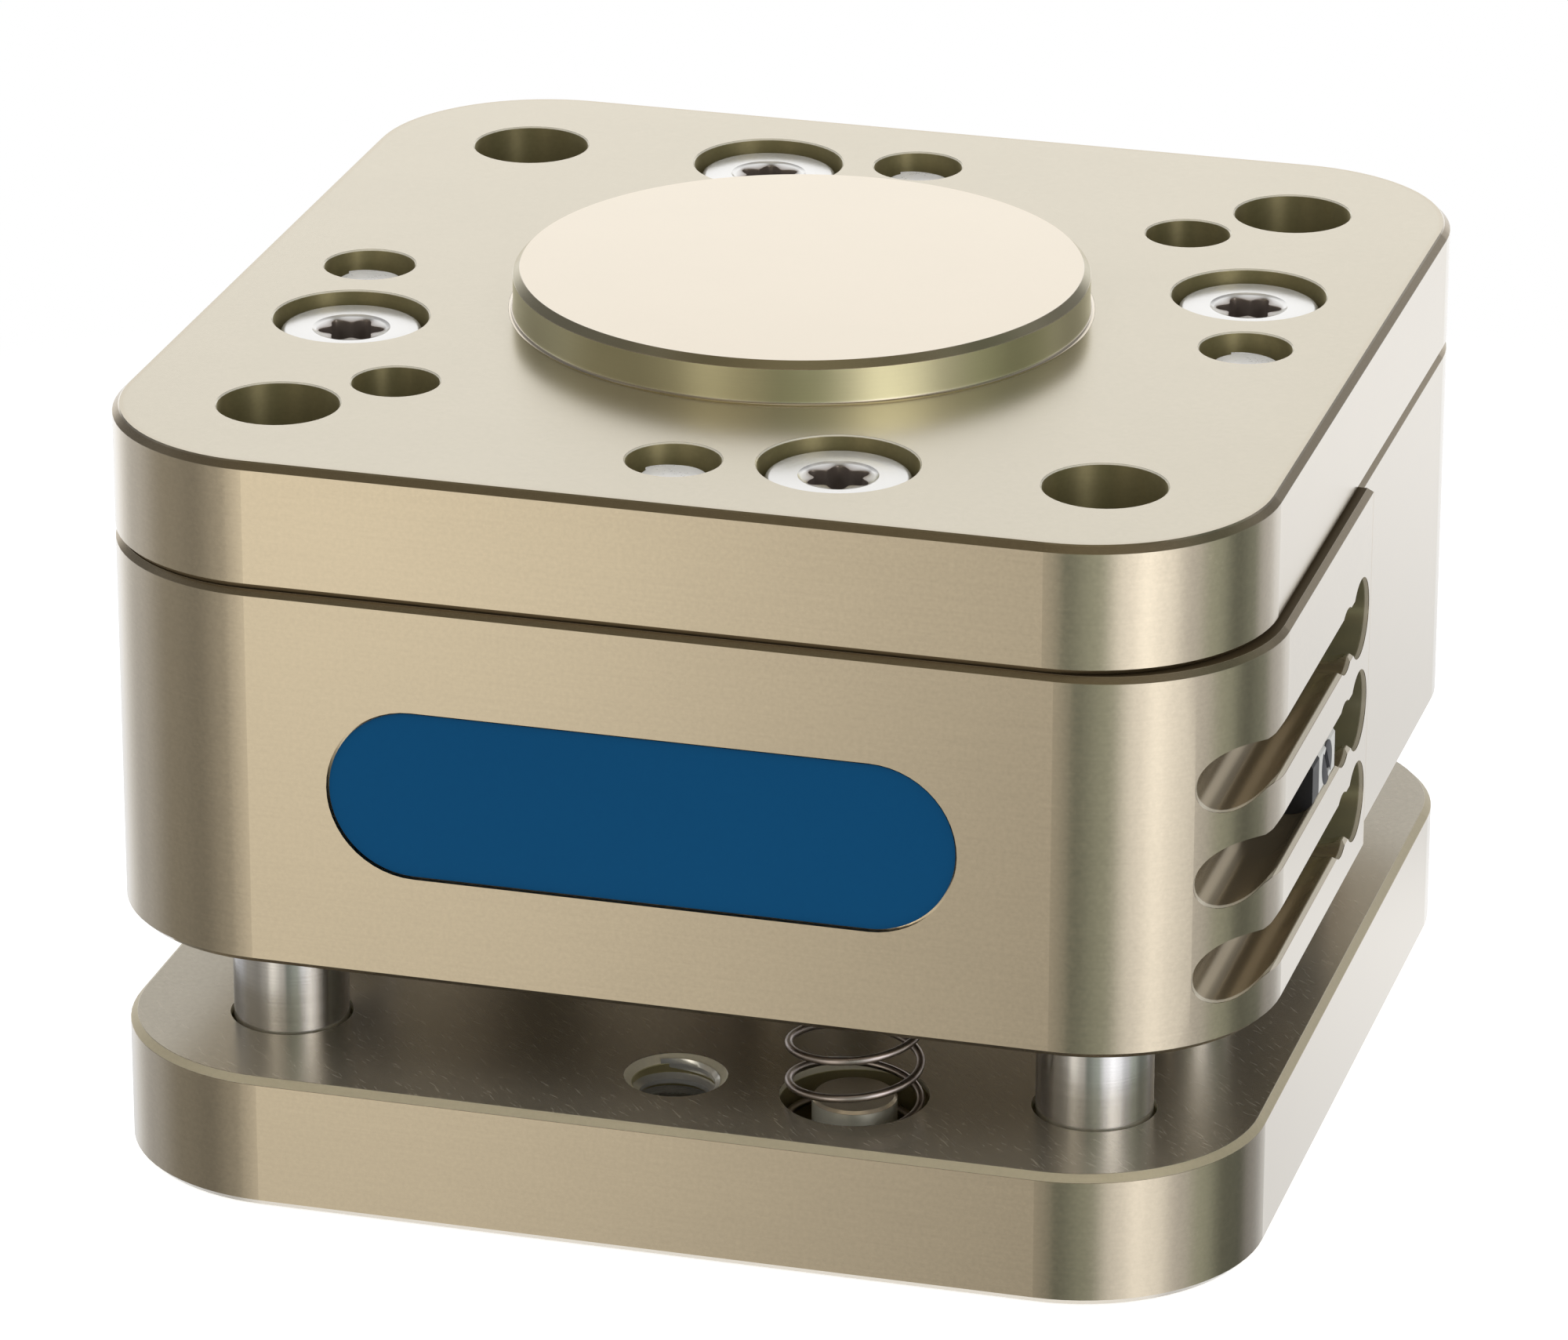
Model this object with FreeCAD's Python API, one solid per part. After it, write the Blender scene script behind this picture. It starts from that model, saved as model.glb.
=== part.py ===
import FreeCAD, Part
import math
import os

from FreeCAD import Vector

# A square compensation unit for a robot wrist: the housing with its robot plate slides down over four
# columns that stand on the tool plate, against four coil springs and a piston in the housing's bore.
# Millimetres. +Z is up, +X is the side with the switch slots, -Y is the front with the badge.
# The origin is the middle of the tool plate's lower face.

# Overall form
corner_radius = 12.8
plate_edge_break = 0.5
housing_edge_break = 0.4
tool_plate_thickness = 9.6
housing_height = 27.0
top_plate_thickness = 9.0
travel = 8.0
stroke_margin = 0.6

# Flange pattern, the same circle on the robot side and on the tool side
flange_circle = 63.0
flange_margin = 8.5
flange_screws = 4
dowel_diameter = 6.0
dowel_angles = (45.0, 225.0)
tool_dowel_angle = 45.0
mouth_break = 0.1

# Centring disc on the robot side and its matching recess on the tool side
centring_diameter = 40.0
centring_height = 3.0
centring_break = 0.5
centring_foot_round = 0.3
centring_seat_depth = 2.0
tool_recess_depth = 3.2

# Guide columns and their bushes
column_diameter = 8.0
column_inset = 11.5
column_seat_depth = 5.6
column_ring_width = 0.25
column_ring_depth = 1.0
column_end_break = 0.5
column_hole_clearance = 0.15
column_top_margin = 1.0
bush_outer_diameter = 11.0
bush_recess = 0.6
bush_cover = 1.4

# Countersunk screws that hold the columns from below
column_screw_diameter = 4.0
column_screw_head_diameter = 7.6
column_screw_length = 12.0

# Cap screws through the top plate into the housing
plate_screw_diameter = 5.0
plate_screw_circle = 62.4
plate_screw_angle = 20.0
plate_screw_head_diameter = 9.8
plate_screw_head_height = 3.3
plate_screw_length = 12.0
plate_screw_sink = 0.8
plate_screw_head_clearance = 0.5
screw_edge_round = 0.4

# Captive screws that fasten the unit to the robot, dropped onto their ledges
mount_screw_diameter = 6.0
mount_screw_length = 16.0
mount_screw_head_diameter = 10.0
mount_screw_head_height = 6.0
mount_screw_sink = 1.2
mount_screw_tip_break = 0.6
mount_screw_clearance = 0.2
tool_thread_diameter = 6.0
tool_thread_break = 0.55

# Return springs between the tool plate and the housing
spring_outer_diameter = 9.5
spring_wire = 0.57
spring_pitch = 2.6
spring_end_pitch = 0.7
spring_across = 12.5
spring_inset = 8.8
spring_clearance = 0.35
spring_pocket_depth = 5.6
spring_chamber_depth = 8.0
spring_pin_diameter = 5.8
spring_pin_round = 0.8
spring_pin_shank_diameter = 3.0
spring_pin_shank_length = 2.4
coil_steps = 12
wire_sides = 6

# Piston, rod and their seals in the middle of the housing
bore_diameter = 34.0
bore_floor_thickness = 6.0
piston_thickness = 10.0
piston_seal_section = 2.5
piston_groove_width = 3.0
piston_groove_height = 3.5
piston_screw_diameter = 5.0
piston_screw_length = 10.0
piston_screw_head_diameter = 8.5
piston_screw_head_height = 5.0
rod_diameter = 12.0
rod_seat_depth = 1.0
rod_spigot_diameter = 8.0
rod_spigot_length = 2.5
rod_screw_diameter = 6.0
rod_screw_length = 12.0
rod_screw_floor = 1.0
rod_bush_wall = 2.0
rod_bush_length = 4.0
rod_seal_width = 3.0
bumper_clearance = 0.5
bumper_thickness = 1.0
cover_seal_margin = 1.0
cover_seal_width = 1.6
cover_seal_height = 1.2

# Magnet on a rod beside the switch slots
magnet_inset = 9.0
magnet_along = -11.5
magnet_rod_diameter = 6.0
magnet_rod_seat_depth = 2.0
magnet_rod_top_clearance = 2.0
magnet_diameter = 4.0
magnet_height = 3.0
magnet_bore_clearance = 0.4
magnet_bore_depth = 21.0

# Pad and switch slots on the side of the housing
pad_proud = 0.8
pad_rear = -0.5
slot_heights = (5.0, 11.8, 18.6)
slot_channel_diameter = 4.4
slot_mouth_width = 3.5
slot_mouth_break = 0.25
slot_axis_depth = 1.85
slot_entry_diameter = 5.7
slot_entry_depth = 3.4
slot_entry_at = -3.9
slot_cutter_diameter = 4.7
slot_cutter_at = -8.3

# Clamp in the middle slot, with its screw
clamp_front = -18.0
clamp_rear = -11.0
clamp_head_length = 5.0
clamp_face_sink = 0.1
clamp_screw_diameter = 2.3
clamp_screw_sink = 0.05
clamp_screw_tip_gap = 0.7

# Badge in a shallow recess on the front
badge_length = 43.4
badge_height = 12.0
badge_thickness = 0.4
badge_recess_depth = 0.6

# Air connection at the back
port_core_diameter = 4.2
port_along = 12.0
port_height = 22.0

# Fits and clearances, on the radius or across a gap
running_clearance = 0.03
seat_clearance = 0.02
thread_clearance = 0.05
seal_clearance = 0.08
piston_clearance = 0.1
stop_clearance = 0.1
badge_clearance = 0.15

flange_radius = flange_circle / 2
half_side = flange_radius + flange_margin
plate_gap = travel + stroke_margin
tool_top = tool_plate_thickness
housing_bottom = tool_top + plate_gap
housing_top = housing_bottom + housing_height
plate_top = housing_top + top_plate_thickness
column_at = half_side - column_inset
column_seat = tool_top - column_seat_depth
column_ring_diameter = column_diameter + 2 * column_ring_width
column_hole_diameter = column_diameter + 2 * column_hole_clearance
bush_length = housing_height - bush_recess - bush_cover
plate_screw_pocket_diameter = plate_screw_head_diameter + 2 * plate_screw_head_clearance
mount_screw_hole_diameter = mount_screw_diameter + 2 * mount_screw_clearance
mount_screw_pocket_diameter = mount_screw_head_diameter + 2 * mount_screw_clearance
tool_thread_mouth_diameter = tool_thread_diameter + 2 * tool_thread_break
spring_at = half_side - spring_inset
spring_pocket_diameter = spring_outer_diameter + 2 * spring_clearance
magnet_across = half_side - magnet_inset
magnet_bore_diameter = magnet_rod_diameter + 2 * magnet_bore_clearance
pad_face = half_side + pad_proud
bore_floor = housing_bottom + bore_floor_thickness
piston_bottom = bore_floor + bumper_thickness + stop_clearance
piston_top = piston_bottom + piston_thickness
piston_groove_diameter = bore_diameter - 2 * piston_seal_section
bumper_outer_diameter = bore_diameter - 2 * bumper_clearance
cover_seal_inner_diameter = bore_diameter + 2 * cover_seal_margin
rod_bush_outer_diameter = rod_diameter + 2 * rod_bush_wall
rod_seal_outer_diameter = rod_diameter + 2 * rod_seal_width
rod_bottom = tool_top - rod_seat_depth
clamp_screw_room = slot_axis_depth + slot_channel_diameter / 2 - clamp_face_sink
clamp_screw_length = clamp_screw_room - clamp_screw_sink - clamp_screw_tip_gap
through = 1.0


def at_angle(radius, angle):
    """Point on a circle about the middle of the unit."""
    turn = math.radians(angle)
    return radius * math.cos(turn), radius * math.sin(turn)


def four_corners(distance):
    return [(distance, distance), (-distance, distance), (-distance, -distance), (distance, -distance)]


def four_turns(x, y):
    """The same place on each of the four sides."""
    return [(x, y), (-y, x), (-x, -y), (y, -x)]


def turned(x, y, profile):
    """Solid of revolution about the vertical through x, y from radius and height pairs."""
    points = [Vector(x + radius, y, height) for radius, height in profile]
    face = Part.Face(Part.makePolygon(points + points[:1]))
    return face.revolve(Vector(x, y, 0), Vector(0, 0, 1), 360)


def round_bar(x, y, diameter, low, high):
    return Part.makeCylinder(diameter / 2, high - low, Vector(x, y, low))


def ring(inner_diameter, outer_diameter, low, high):
    return round_bar(0, 0, outer_diameter, low, high).cut(round_bar(0, 0, inner_diameter, low, high))


def broken_bar(x, y, diameter, low, high, low_break, high_break):
    """Round bar with a chamfer at either end."""
    radius = diameter / 2
    profile = [(0, low), (radius - low_break, low), (radius, low + low_break)]
    profile += [(radius, high - high_break), (radius - high_break, high), (0, high)]
    if low_break == 0:
        profile.pop(1)
    return turned(x, y, profile)


def open_hole(x, y, diameter, low, high, mouth_diameter):
    """Cutter for a hole that runs out of the face at the height high through a chamfered mouth."""
    widening = (mouth_diameter - diameter) / 2
    mouth = mouth_diameter / 2
    profile = [(0, low), (diameter / 2, low), (diameter / 2, high - widening)]
    profile += [(mouth, high), (mouth, high + through), (0, high + through)]
    return turned(x, y, profile)


def countersink(x, y, diameter, head_diameter, low, high):
    """Cutter for a countersunk hole whose wide end is at the height low."""
    slope = (head_diameter - diameter) / 2
    head = head_diameter / 2
    profile = [(0, low - through), (head, low - through), (head, low)]
    profile += [(diameter / 2, low + slope), (diameter / 2, high), (0, high)]
    return turned(x, y, profile)


def countersunk_screw(x, y, diameter, head_diameter, low, length):
    slope = (head_diameter - diameter) / 2
    radius = diameter / 2 - thread_clearance
    profile = [(0, low), (head_diameter / 2, low), (radius, low + slope + thread_clearance)]
    profile += [(radius, low + length), (0, low + length)]
    return turned(x, y, profile)


def cap_screw(x, y, diameter, head_diameter, head_height, under_head, length):
    """Cap screw that hangs down from the height under_head."""
    head = head_diameter / 2
    shank = diameter / 2 - thread_clearance
    top = under_head + head_height
    tip = under_head - length
    profile = [(0, tip), (shank, tip), (shank, under_head), (head, under_head)]
    profile += [(head, top - screw_edge_round), (head - screw_edge_round, top), (0, top)]
    return turned(x, y, profile)


def edges_at(shape, height):
    return [edge for edge in shape.Edges if all(abs(v.Z - height) < 1e-6 for v in edge.Vertexes)]


def arc(start, middle, end):
    return Part.Arc(Vector(*start), Vector(*middle), Vector(*end)).toShape()


def line(start, end):
    return Part.LineSegment(Vector(*start), Vector(*end)).toShape()


def rounded_outline(right, z):
    """Square with rounded corners whose +X side stands at right from the front back to pad_rear."""
    h = half_side
    r = corner_radius
    bow = r * (1 - math.sqrt(0.5))
    edges = [line((-h + r, -h, z), (right - r, -h, z))]
    edges.append(arc((right - r, -h, z), (right - bow, -h + bow, z), (right, -h + r, z)))
    if right > h:
        edges.append(line((right, -h + r, z), (right, pad_rear, z)))
        edges.append(line((right, pad_rear, z), (h, pad_rear, z)))
        edges.append(line((h, pad_rear, z), (h, h - r, z)))
    else:
        edges.append(line((h, -h + r, z), (h, h - r, z)))
    edges.append(arc((h, h - r, z), (h - bow, h - bow, z), (h - r, h, z)))
    edges.append(line((h - r, h, z), (-h + r, h, z)))
    edges.append(arc((-h + r, h, z), (-h + bow, h - bow, z), (-h, h - r, z)))
    edges.append(line((-h, h - r, z), (-h, -h + r, z)))
    edges.append(arc((-h, -h + r, z), (-h + bow, -h + bow, z), (-h + r, -h, z)))
    return Part.Wire(edges)


def rounded_block(right, low, high, edge_break):
    """Block with rounded corners and broken edges round its upper and lower faces."""
    block = Part.Face(rounded_outline(right, low)).extrude(Vector(0, 0, high - low))
    return block.makeChamfer(edge_break, edges_at(block, low) + edges_at(block, high))


def flange_places():
    return [at_angle(flange_radius, 360 / flange_screws * n) for n in range(flange_screws)]


def plate_screw_places():
    return four_turns(*at_angle(plate_screw_circle / 2, plate_screw_angle))


def spring_places():
    return four_turns(spring_across, -spring_at)


def stadium(depth_from, depth_to, shrink):
    """Upright slot shape on the front face, between two depths behind that face."""
    radius = badge_height / 2 - shrink
    reach = (badge_length - badge_height) / 2
    middle = housing_bottom + housing_height / 2
    y = -half_side + depth_from
    low = middle - radius
    high = middle + radius
    edges = [line((-reach, y, low), (reach, y, low))]
    edges.append(arc((reach, y, low), (reach + radius, y, middle), (reach, y, high)))
    edges.append(line((reach, y, high), (-reach, y, high)))
    edges.append(arc((-reach, y, high), (-reach - radius, y, middle), (-reach, y, low)))
    return Part.Face(Part.Wire(edges)).extrude(Vector(0, depth_to - depth_from, 0))


def tool_plate():
    plate = rounded_block(half_side, 0, tool_top, plate_edge_break)
    cuts = [round_bar(0, 0, centring_diameter, -through, tool_recess_depth)]
    cuts.append(round_bar(0, 0, rod_screw_diameter, tool_recess_depth + rod_screw_floor, tool_top))
    cuts.append(round_bar(0, 0, rod_diameter, rod_bottom, tool_top + through))
    cuts.append(round_bar(magnet_across, magnet_along, magnet_rod_diameter,
                          tool_top - magnet_rod_seat_depth, tool_top + through))
    for x, y in four_corners(column_at):
        cuts.append(round_bar(x, y, column_diameter, column_seat, tool_top + through))
        cuts.append(round_bar(x, y, column_ring_diameter, tool_top - column_ring_depth, tool_top + through))
        cuts.append(countersink(x, y, column_screw_diameter, column_screw_head_diameter, 0, tool_top))
    for x, y in flange_places():
        cuts.append(open_hole(x, y, tool_thread_diameter, -through, tool_top, tool_thread_mouth_diameter))
        cuts.append(countersink(x, y, tool_thread_diameter, tool_thread_mouth_diameter, 0, tool_top))
    x, y = at_angle(flange_radius, tool_dowel_angle)
    cuts.append(round_bar(x, y, dowel_diameter, -through, tool_top + through))
    for x, y in spring_places():
        floor = tool_top - spring_pocket_depth
        cuts.append(round_bar(x, y, spring_pocket_diameter, floor, tool_top + through))
        cuts.append(round_bar(x, y, spring_pin_shank_diameter, floor - spring_pin_shank_length, tool_top))
    return plate.cut(cuts)


def guide_column(x, y):
    top = plate_top - travel - column_top_margin
    column = broken_bar(x, y, column_diameter, column_seat, top, 0, column_end_break)
    thread_top = column_screw_length + through
    return column.cut(round_bar(x, y, column_screw_diameter, column_seat, thread_top))


def column_screws():
    places = four_corners(column_at)
    sizes = (column_screw_diameter, column_screw_head_diameter, 0, column_screw_length)
    return Part.makeCompound([countersunk_screw(x, y, *sizes) for x, y in places])


def spring_pin(x, y):
    floor = tool_top - spring_pocket_depth
    radius = spring_pin_diameter / 2
    shank = spring_pin_shank_diameter / 2
    profile = [(0, floor - spring_pin_shank_length), (shank, floor - spring_pin_shank_length), (shank, floor)]
    profile += [(radius, floor), (radius, tool_top - spring_pin_round)]
    bow = spring_pin_round * (1 - math.sqrt(0.5))
    profile.append((radius - bow, tool_top - bow))
    profile += [(radius - spring_pin_round, tool_top), (0, tool_top)]
    return turned(x, y, profile)


def return_spring(x, y):
    """Coil with a closed turn at either end, lofted through wire sections."""
    low = tool_top - spring_pocket_depth + spring_wire / 2
    high = housing_bottom + spring_chamber_depth - spring_wire / 2 - seat_clearance
    mean_radius = (spring_outer_diameter - spring_wire) / 2
    open_turns = (high - low - 2 * spring_end_pitch) / spring_pitch
    turns = open_turns + 2
    steps = round(turns * coil_steps)
    sections = []
    for step in range(steps + 1):
        turn = turns * step / steps
        height = low + spring_end_pitch * min(turn, 1)
        height += spring_pitch * min(max(turn - 1, 0), open_turns)
        height += spring_end_pitch * max(turn - 1 - open_turns, 0)
        corners = []
        for side in range(wire_sides):
            around = math.radians(360 / wire_sides * (side + 0.5) + 90)
            reach = spring_wire / 2 / math.cos(math.pi / wire_sides)
            radius = mean_radius + reach * math.cos(around)
            heading = 2 * math.pi * turn
            corners.append(Vector(x + radius * math.cos(heading), y + radius * math.sin(heading),
                                  height + reach * math.sin(around)))
        sections.append(Part.makePolygon(corners + corners[:1]))
    return Part.makeLoft(sections, True, True)


def piston_rod():
    radius = rod_diameter / 2
    spigot = rod_spigot_diameter / 2
    top = piston_bottom + rod_spigot_length
    rod = turned(0, 0, [(0, rod_bottom), (radius, rod_bottom), (radius, piston_bottom),
                        (spigot, piston_bottom), (spigot, top), (0, top)])
    screw_top = tool_recess_depth + rod_screw_floor + rod_screw_length + through
    screw_low = piston_top - piston_screw_head_height - piston_screw_length - through
    low_thread = round_bar(0, 0, rod_screw_diameter, rod_bottom, screw_top)
    high_thread = round_bar(0, 0, piston_screw_diameter, screw_low, top)
    return rod.cut([low_thread, high_thread])


def piston():
    body = round_bar(0, 0, bore_diameter - 2 * piston_clearance, piston_bottom, piston_top)
    low = piston_bottom + piston_groove_height
    groove = ring(piston_groove_diameter, bore_diameter, low, low + piston_groove_width)
    head_seat = piston_top - piston_screw_head_height
    spigot_hole = round_bar(0, 0, rod_spigot_diameter, piston_bottom, piston_bottom + rod_spigot_length)
    screw_hole = round_bar(0, 0, piston_screw_diameter, piston_bottom, piston_top)
    head_hole = round_bar(0, 0, piston_screw_head_diameter + 2 * piston_clearance, head_seat, piston_top)
    return body.cut([groove, spigot_hole, screw_hole, head_hole])


def piston_seal():
    low = piston_bottom + piston_groove_height
    outer = bore_diameter - 2 * seal_clearance
    return ring(piston_groove_diameter, outer, low, low + piston_groove_width)


def piston_screw():
    seat = piston_top - piston_screw_head_height
    return cap_screw(0, 0, piston_screw_diameter, piston_screw_head_diameter,
                     piston_screw_head_height, seat, piston_screw_length)


def magnet_rod():
    low = tool_top - magnet_rod_seat_depth
    top = housing_bottom + magnet_bore_depth - travel - magnet_rod_top_clearance
    rod = broken_bar(magnet_across, magnet_along, magnet_rod_diameter, low, top, 0, column_end_break)
    return rod.cut(round_bar(magnet_across, magnet_along, magnet_diameter, top - magnet_height, top))


def switch_magnet():
    top = housing_bottom + magnet_bore_depth - travel - magnet_rod_top_clearance
    return round_bar(magnet_across, magnet_along, magnet_diameter, top - magnet_height, top)


def cross_hole(diameter, along, height):
    """Cutter for a round hole straight into the pad, where a switch or a milling cutter enters."""
    deep = pad_face - slot_entry_depth
    reach = pad_face + through - deep
    return Part.makeCylinder(diameter / 2, reach, Vector(deep, along, height), Vector(1, 0, 0))


def switch_slot(height):
    """Cutters for one slot: a round channel open through flared lips, with a round entry at its rear end."""
    axis = pad_face - slot_axis_depth
    front = -half_side - through
    length = slot_entry_at - front
    start = Vector(axis, front, height)
    channel = Part.makeCylinder(slot_channel_diameter / 2, length, start, Vector(0, 1, 0))
    corner = Vector(axis, front, height - slot_mouth_width / 2)
    mouth = Part.makeBox(slot_axis_depth + through, length, slot_mouth_width, corner)
    half = slot_mouth_width / 2
    flare = half + slot_mouth_break + through
    lip = pad_face - slot_mouth_break
    outside = pad_face + through
    corners = [Vector(lip, front, height - half), Vector(outside, front, height - flare)]
    corners += [Vector(outside, front, height + flare), Vector(lip, front, height + half)]
    lips = Part.Face(Part.makePolygon(corners + corners[:1])).extrude(Vector(0, length, 0))
    entry = cross_hole(slot_entry_diameter, slot_entry_at, height)
    cutter = cross_hole(slot_cutter_diameter, slot_cutter_at, height)
    return [channel, mouth, lips, entry, cutter]


def housing():
    body = rounded_block(pad_face, housing_bottom, housing_top, housing_edge_break)
    cuts = [round_bar(0, 0, bore_diameter, bore_floor, housing_top + through)]
    cuts.append(round_bar(0, 0, rod_bush_outer_diameter, housing_bottom - through, bore_floor))
    cuts.append(round_bar(0, 0, rod_seal_outer_diameter, housing_bottom + rod_bush_length, bore_floor))
    cuts.append(round_bar(magnet_across, magnet_along, magnet_bore_diameter,
                          housing_bottom - through, housing_bottom + magnet_bore_depth))
    bush_top = housing_bottom + bush_recess + bush_length
    for x, y in four_corners(column_at):
        cuts.append(round_bar(x, y, bush_outer_diameter, housing_bottom - through, bush_top))
        cuts.append(round_bar(x, y, column_ring_diameter, bush_top, housing_top + through))
    ledge = plate_top - mount_screw_sink - mount_screw_length - mount_screw_head_height
    for x, y in flange_places():
        cuts.append(round_bar(x, y, mount_screw_pocket_diameter, ledge, housing_top + through))
        cuts.append(round_bar(x, y, mount_screw_hole_diameter, housing_bottom - through, ledge))
    under_head = plate_top - plate_screw_sink - plate_screw_head_height
    thread_bottom = under_head - plate_screw_length - through
    for x, y in plate_screw_places():
        cuts.append(round_bar(x, y, plate_screw_diameter, thread_bottom, housing_top + through))
    for x, y in spring_places():
        cuts.append(round_bar(x, y, spring_pocket_diameter, housing_bottom - through,
                              housing_bottom + spring_chamber_depth))
    for height in slot_heights:
        cuts += switch_slot(housing_bottom + height)
    cuts.append(stadium(-through, badge_recess_depth, 0))
    port_at = Vector(port_along, half_side + through, housing_bottom + port_height)
    cuts.append(Part.makeCylinder(port_core_diameter / 2, half_side + through, port_at, Vector(0, -1, 0)))
    return body.cut(cuts)


def guide_bush(x, y):
    low = housing_bottom + bush_recess
    outer = round_bar(x, y, bush_outer_diameter, low, low + bush_length)
    return outer.cut(round_bar(x, y, column_diameter + 2 * running_clearance, low, low + bush_length))


def rod_bush():
    inner = rod_diameter + 2 * running_clearance
    return ring(inner, rod_bush_outer_diameter, housing_bottom, housing_bottom + rod_bush_length)


def rod_seal():
    inner = rod_diameter + 2 * seal_clearance
    return ring(inner, rod_seal_outer_diameter, housing_bottom + rod_bush_length, bore_floor)


def stop_bumper():
    return ring(rod_bush_outer_diameter, bumper_outer_diameter, bore_floor, bore_floor + bumper_thickness)


def cover_seal():
    outer = cover_seal_inner_diameter + 2 * cover_seal_width
    return ring(cover_seal_inner_diameter, outer, housing_top, housing_top + cover_seal_height)


def top_plate():
    plate = rounded_block(half_side, housing_top, plate_top, plate_edge_break)
    seat_diameter = centring_diameter + 2 * centring_foot_round + 2 * seat_clearance
    cuts = [round_bar(0, 0, seat_diameter, plate_top - centring_seat_depth, plate_top + through)]
    cuts.append(cover_seal())
    low = housing_top - through
    for x, y in four_corners(column_at):
        mouth = column_hole_diameter + 2 * mouth_break
        cuts.append(open_hole(x, y, column_hole_diameter, low, plate_top, mouth))
    for x, y in flange_places():
        mouth = mount_screw_hole_diameter + 2 * mouth_break
        cuts.append(open_hole(x, y, mount_screw_hole_diameter, low, plate_top, mouth))
    for angle in dowel_angles:
        x, y = at_angle(flange_radius, angle)
        mouth = dowel_diameter + 2 * mouth_break
        cuts.append(open_hole(x, y, dowel_diameter, low, plate_top, mouth))
    pocket_floor = plate_top - plate_screw_sink - plate_screw_head_height
    for x, y in plate_screw_places():
        mouth = plate_screw_pocket_diameter + 2 * mouth_break
        cuts.append(round_bar(x, y, plate_screw_diameter, low, plate_top))
        cuts.append(open_hole(x, y, plate_screw_pocket_diameter, pocket_floor, plate_top, mouth))
    return plate.cut(cuts)


def plate_screws():
    seat = plate_top - plate_screw_sink - plate_screw_head_height
    head = (plate_screw_head_diameter, plate_screw_head_height)
    sizes = (plate_screw_diameter, *head, seat, plate_screw_length)
    return Part.makeCompound([cap_screw(x, y, *sizes) for x, y in plate_screw_places()])


def mounting_screw(x, y):
    """Cap screw with its head down on the ledge and its chamfered tip inside the top plate's hole."""
    tip = plate_top - mount_screw_sink
    neck = tip - mount_screw_length
    foot = neck - mount_screw_head_height
    head = mount_screw_head_diameter / 2
    shank = mount_screw_diameter / 2
    profile = [(0, foot), (head - screw_edge_round, foot), (head, foot + screw_edge_round), (head, neck)]
    profile += [(shank, neck), (shank, tip - mount_screw_tip_break)]
    profile += [(shank - mount_screw_tip_break, tip), (0, tip)]
    return turned(x, y, profile)


def centring_disc():
    """Turned disc let into the top plate, with a small round where its wall leaves the plate's face."""
    wall = centring_diameter / 2
    seat = wall + centring_foot_round
    bow = centring_foot_round * (1 - math.sqrt(0.5))
    low = plate_top - centring_seat_depth
    high = plate_top + centring_height
    foot = plate_top + centring_foot_round
    edges = [line((0, 0, low), (seat, 0, low)), line((seat, 0, low), (seat, 0, plate_top))]
    edges.append(arc((seat, 0, plate_top), (wall + bow, 0, plate_top + bow), (wall, 0, foot)))
    edges.append(line((wall, 0, foot), (wall, 0, high - centring_break)))
    edges.append(line((wall, 0, high - centring_break), (wall - centring_break, 0, high)))
    edges.append(line((wall - centring_break, 0, high), (0, 0, high)))
    edges.append(line((0, 0, high), (0, 0, low)))
    return Part.Face(Part.Wire(edges)).revolve(Vector(0, 0, 0), Vector(0, 0, 1), 360)


def clamp_bar(front, rear):
    """Stretch of a bar that fills the middle slot's channel, flat where it faces the slot's mouth."""
    height = housing_bottom + slot_heights[1]
    axis = pad_face - slot_axis_depth
    radius = slot_channel_diameter / 2 - seat_clearance
    bar = Part.makeCylinder(radius, rear - front, Vector(axis, front, height), Vector(0, 1, 0))
    face = pad_face - clamp_face_sink
    beyond = Part.makeBox(radius, rear - front, 2 * radius, Vector(face, front, height - radius))
    return bar.cut(beyond)


def clamp_bolt(diameter, length, face):
    """Round bar across the clamp's head, whose outer end stands at face."""
    height = housing_bottom + slot_heights[1]
    middle = clamp_rear - clamp_head_length / 2
    return Part.makeCylinder(diameter / 2, length, Vector(face - length, middle, height), Vector(1, 0, 0))


def clamp_body():
    return clamp_bar(clamp_front, clamp_rear - clamp_head_length)


def clamp_head():
    head = clamp_bar(clamp_rear - clamp_head_length, clamp_rear)
    return head.cut(clamp_bolt(clamp_screw_diameter, slot_channel_diameter, pad_face))


def clamp_screw():
    face = pad_face - clamp_face_sink - clamp_screw_sink
    return clamp_bolt(clamp_screw_diameter - 2 * seat_clearance, clamp_screw_length, face)


def badge_plate():
    return stadium(badge_recess_depth - badge_thickness, badge_recess_depth, badge_clearance)


def rod_screw():
    """Headless screw that joins the rod to the tool plate."""
    low = tool_recess_depth + rod_screw_floor + thread_clearance
    return round_bar(0, 0, rod_screw_diameter - 2 * thread_clearance, low, low + rod_screw_length)


parts = {
    "tool_plate": tool_plate(),
    "column_screws": column_screws(),
    "piston_rod": piston_rod(),
    "rod_screw": rod_screw(),
    "piston": piston(),
    "piston_seal": piston_seal(),
    "piston_screw": piston_screw(),
    "magnet_rod": magnet_rod(),
    "switch_magnet": switch_magnet(),
    "housing": housing(),
    "rod_bush": rod_bush(),
    "rod_seal": rod_seal(),
    "stop_bumper": stop_bumper(),
    "cover_seal": cover_seal(),
    "top_plate": top_plate(),
    "plate_screws": plate_screws(),
    "centring_disc": centring_disc(),
    "clamp_body": clamp_body(),
    "clamp_head": clamp_head(),
    "clamp_screw": clamp_screw(),
    "badge_plate": badge_plate(),
}
for number, (x, y) in enumerate(four_corners(column_at), start=1):
    parts[f"guide_column_{number}"] = guide_column(x, y)
    parts[f"guide_bush_{number}"] = guide_bush(x, y)
for number, (x, y) in enumerate(flange_places(), start=1):
    parts[f"mounting_screw_{number}"] = mounting_screw(x, y)
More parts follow.
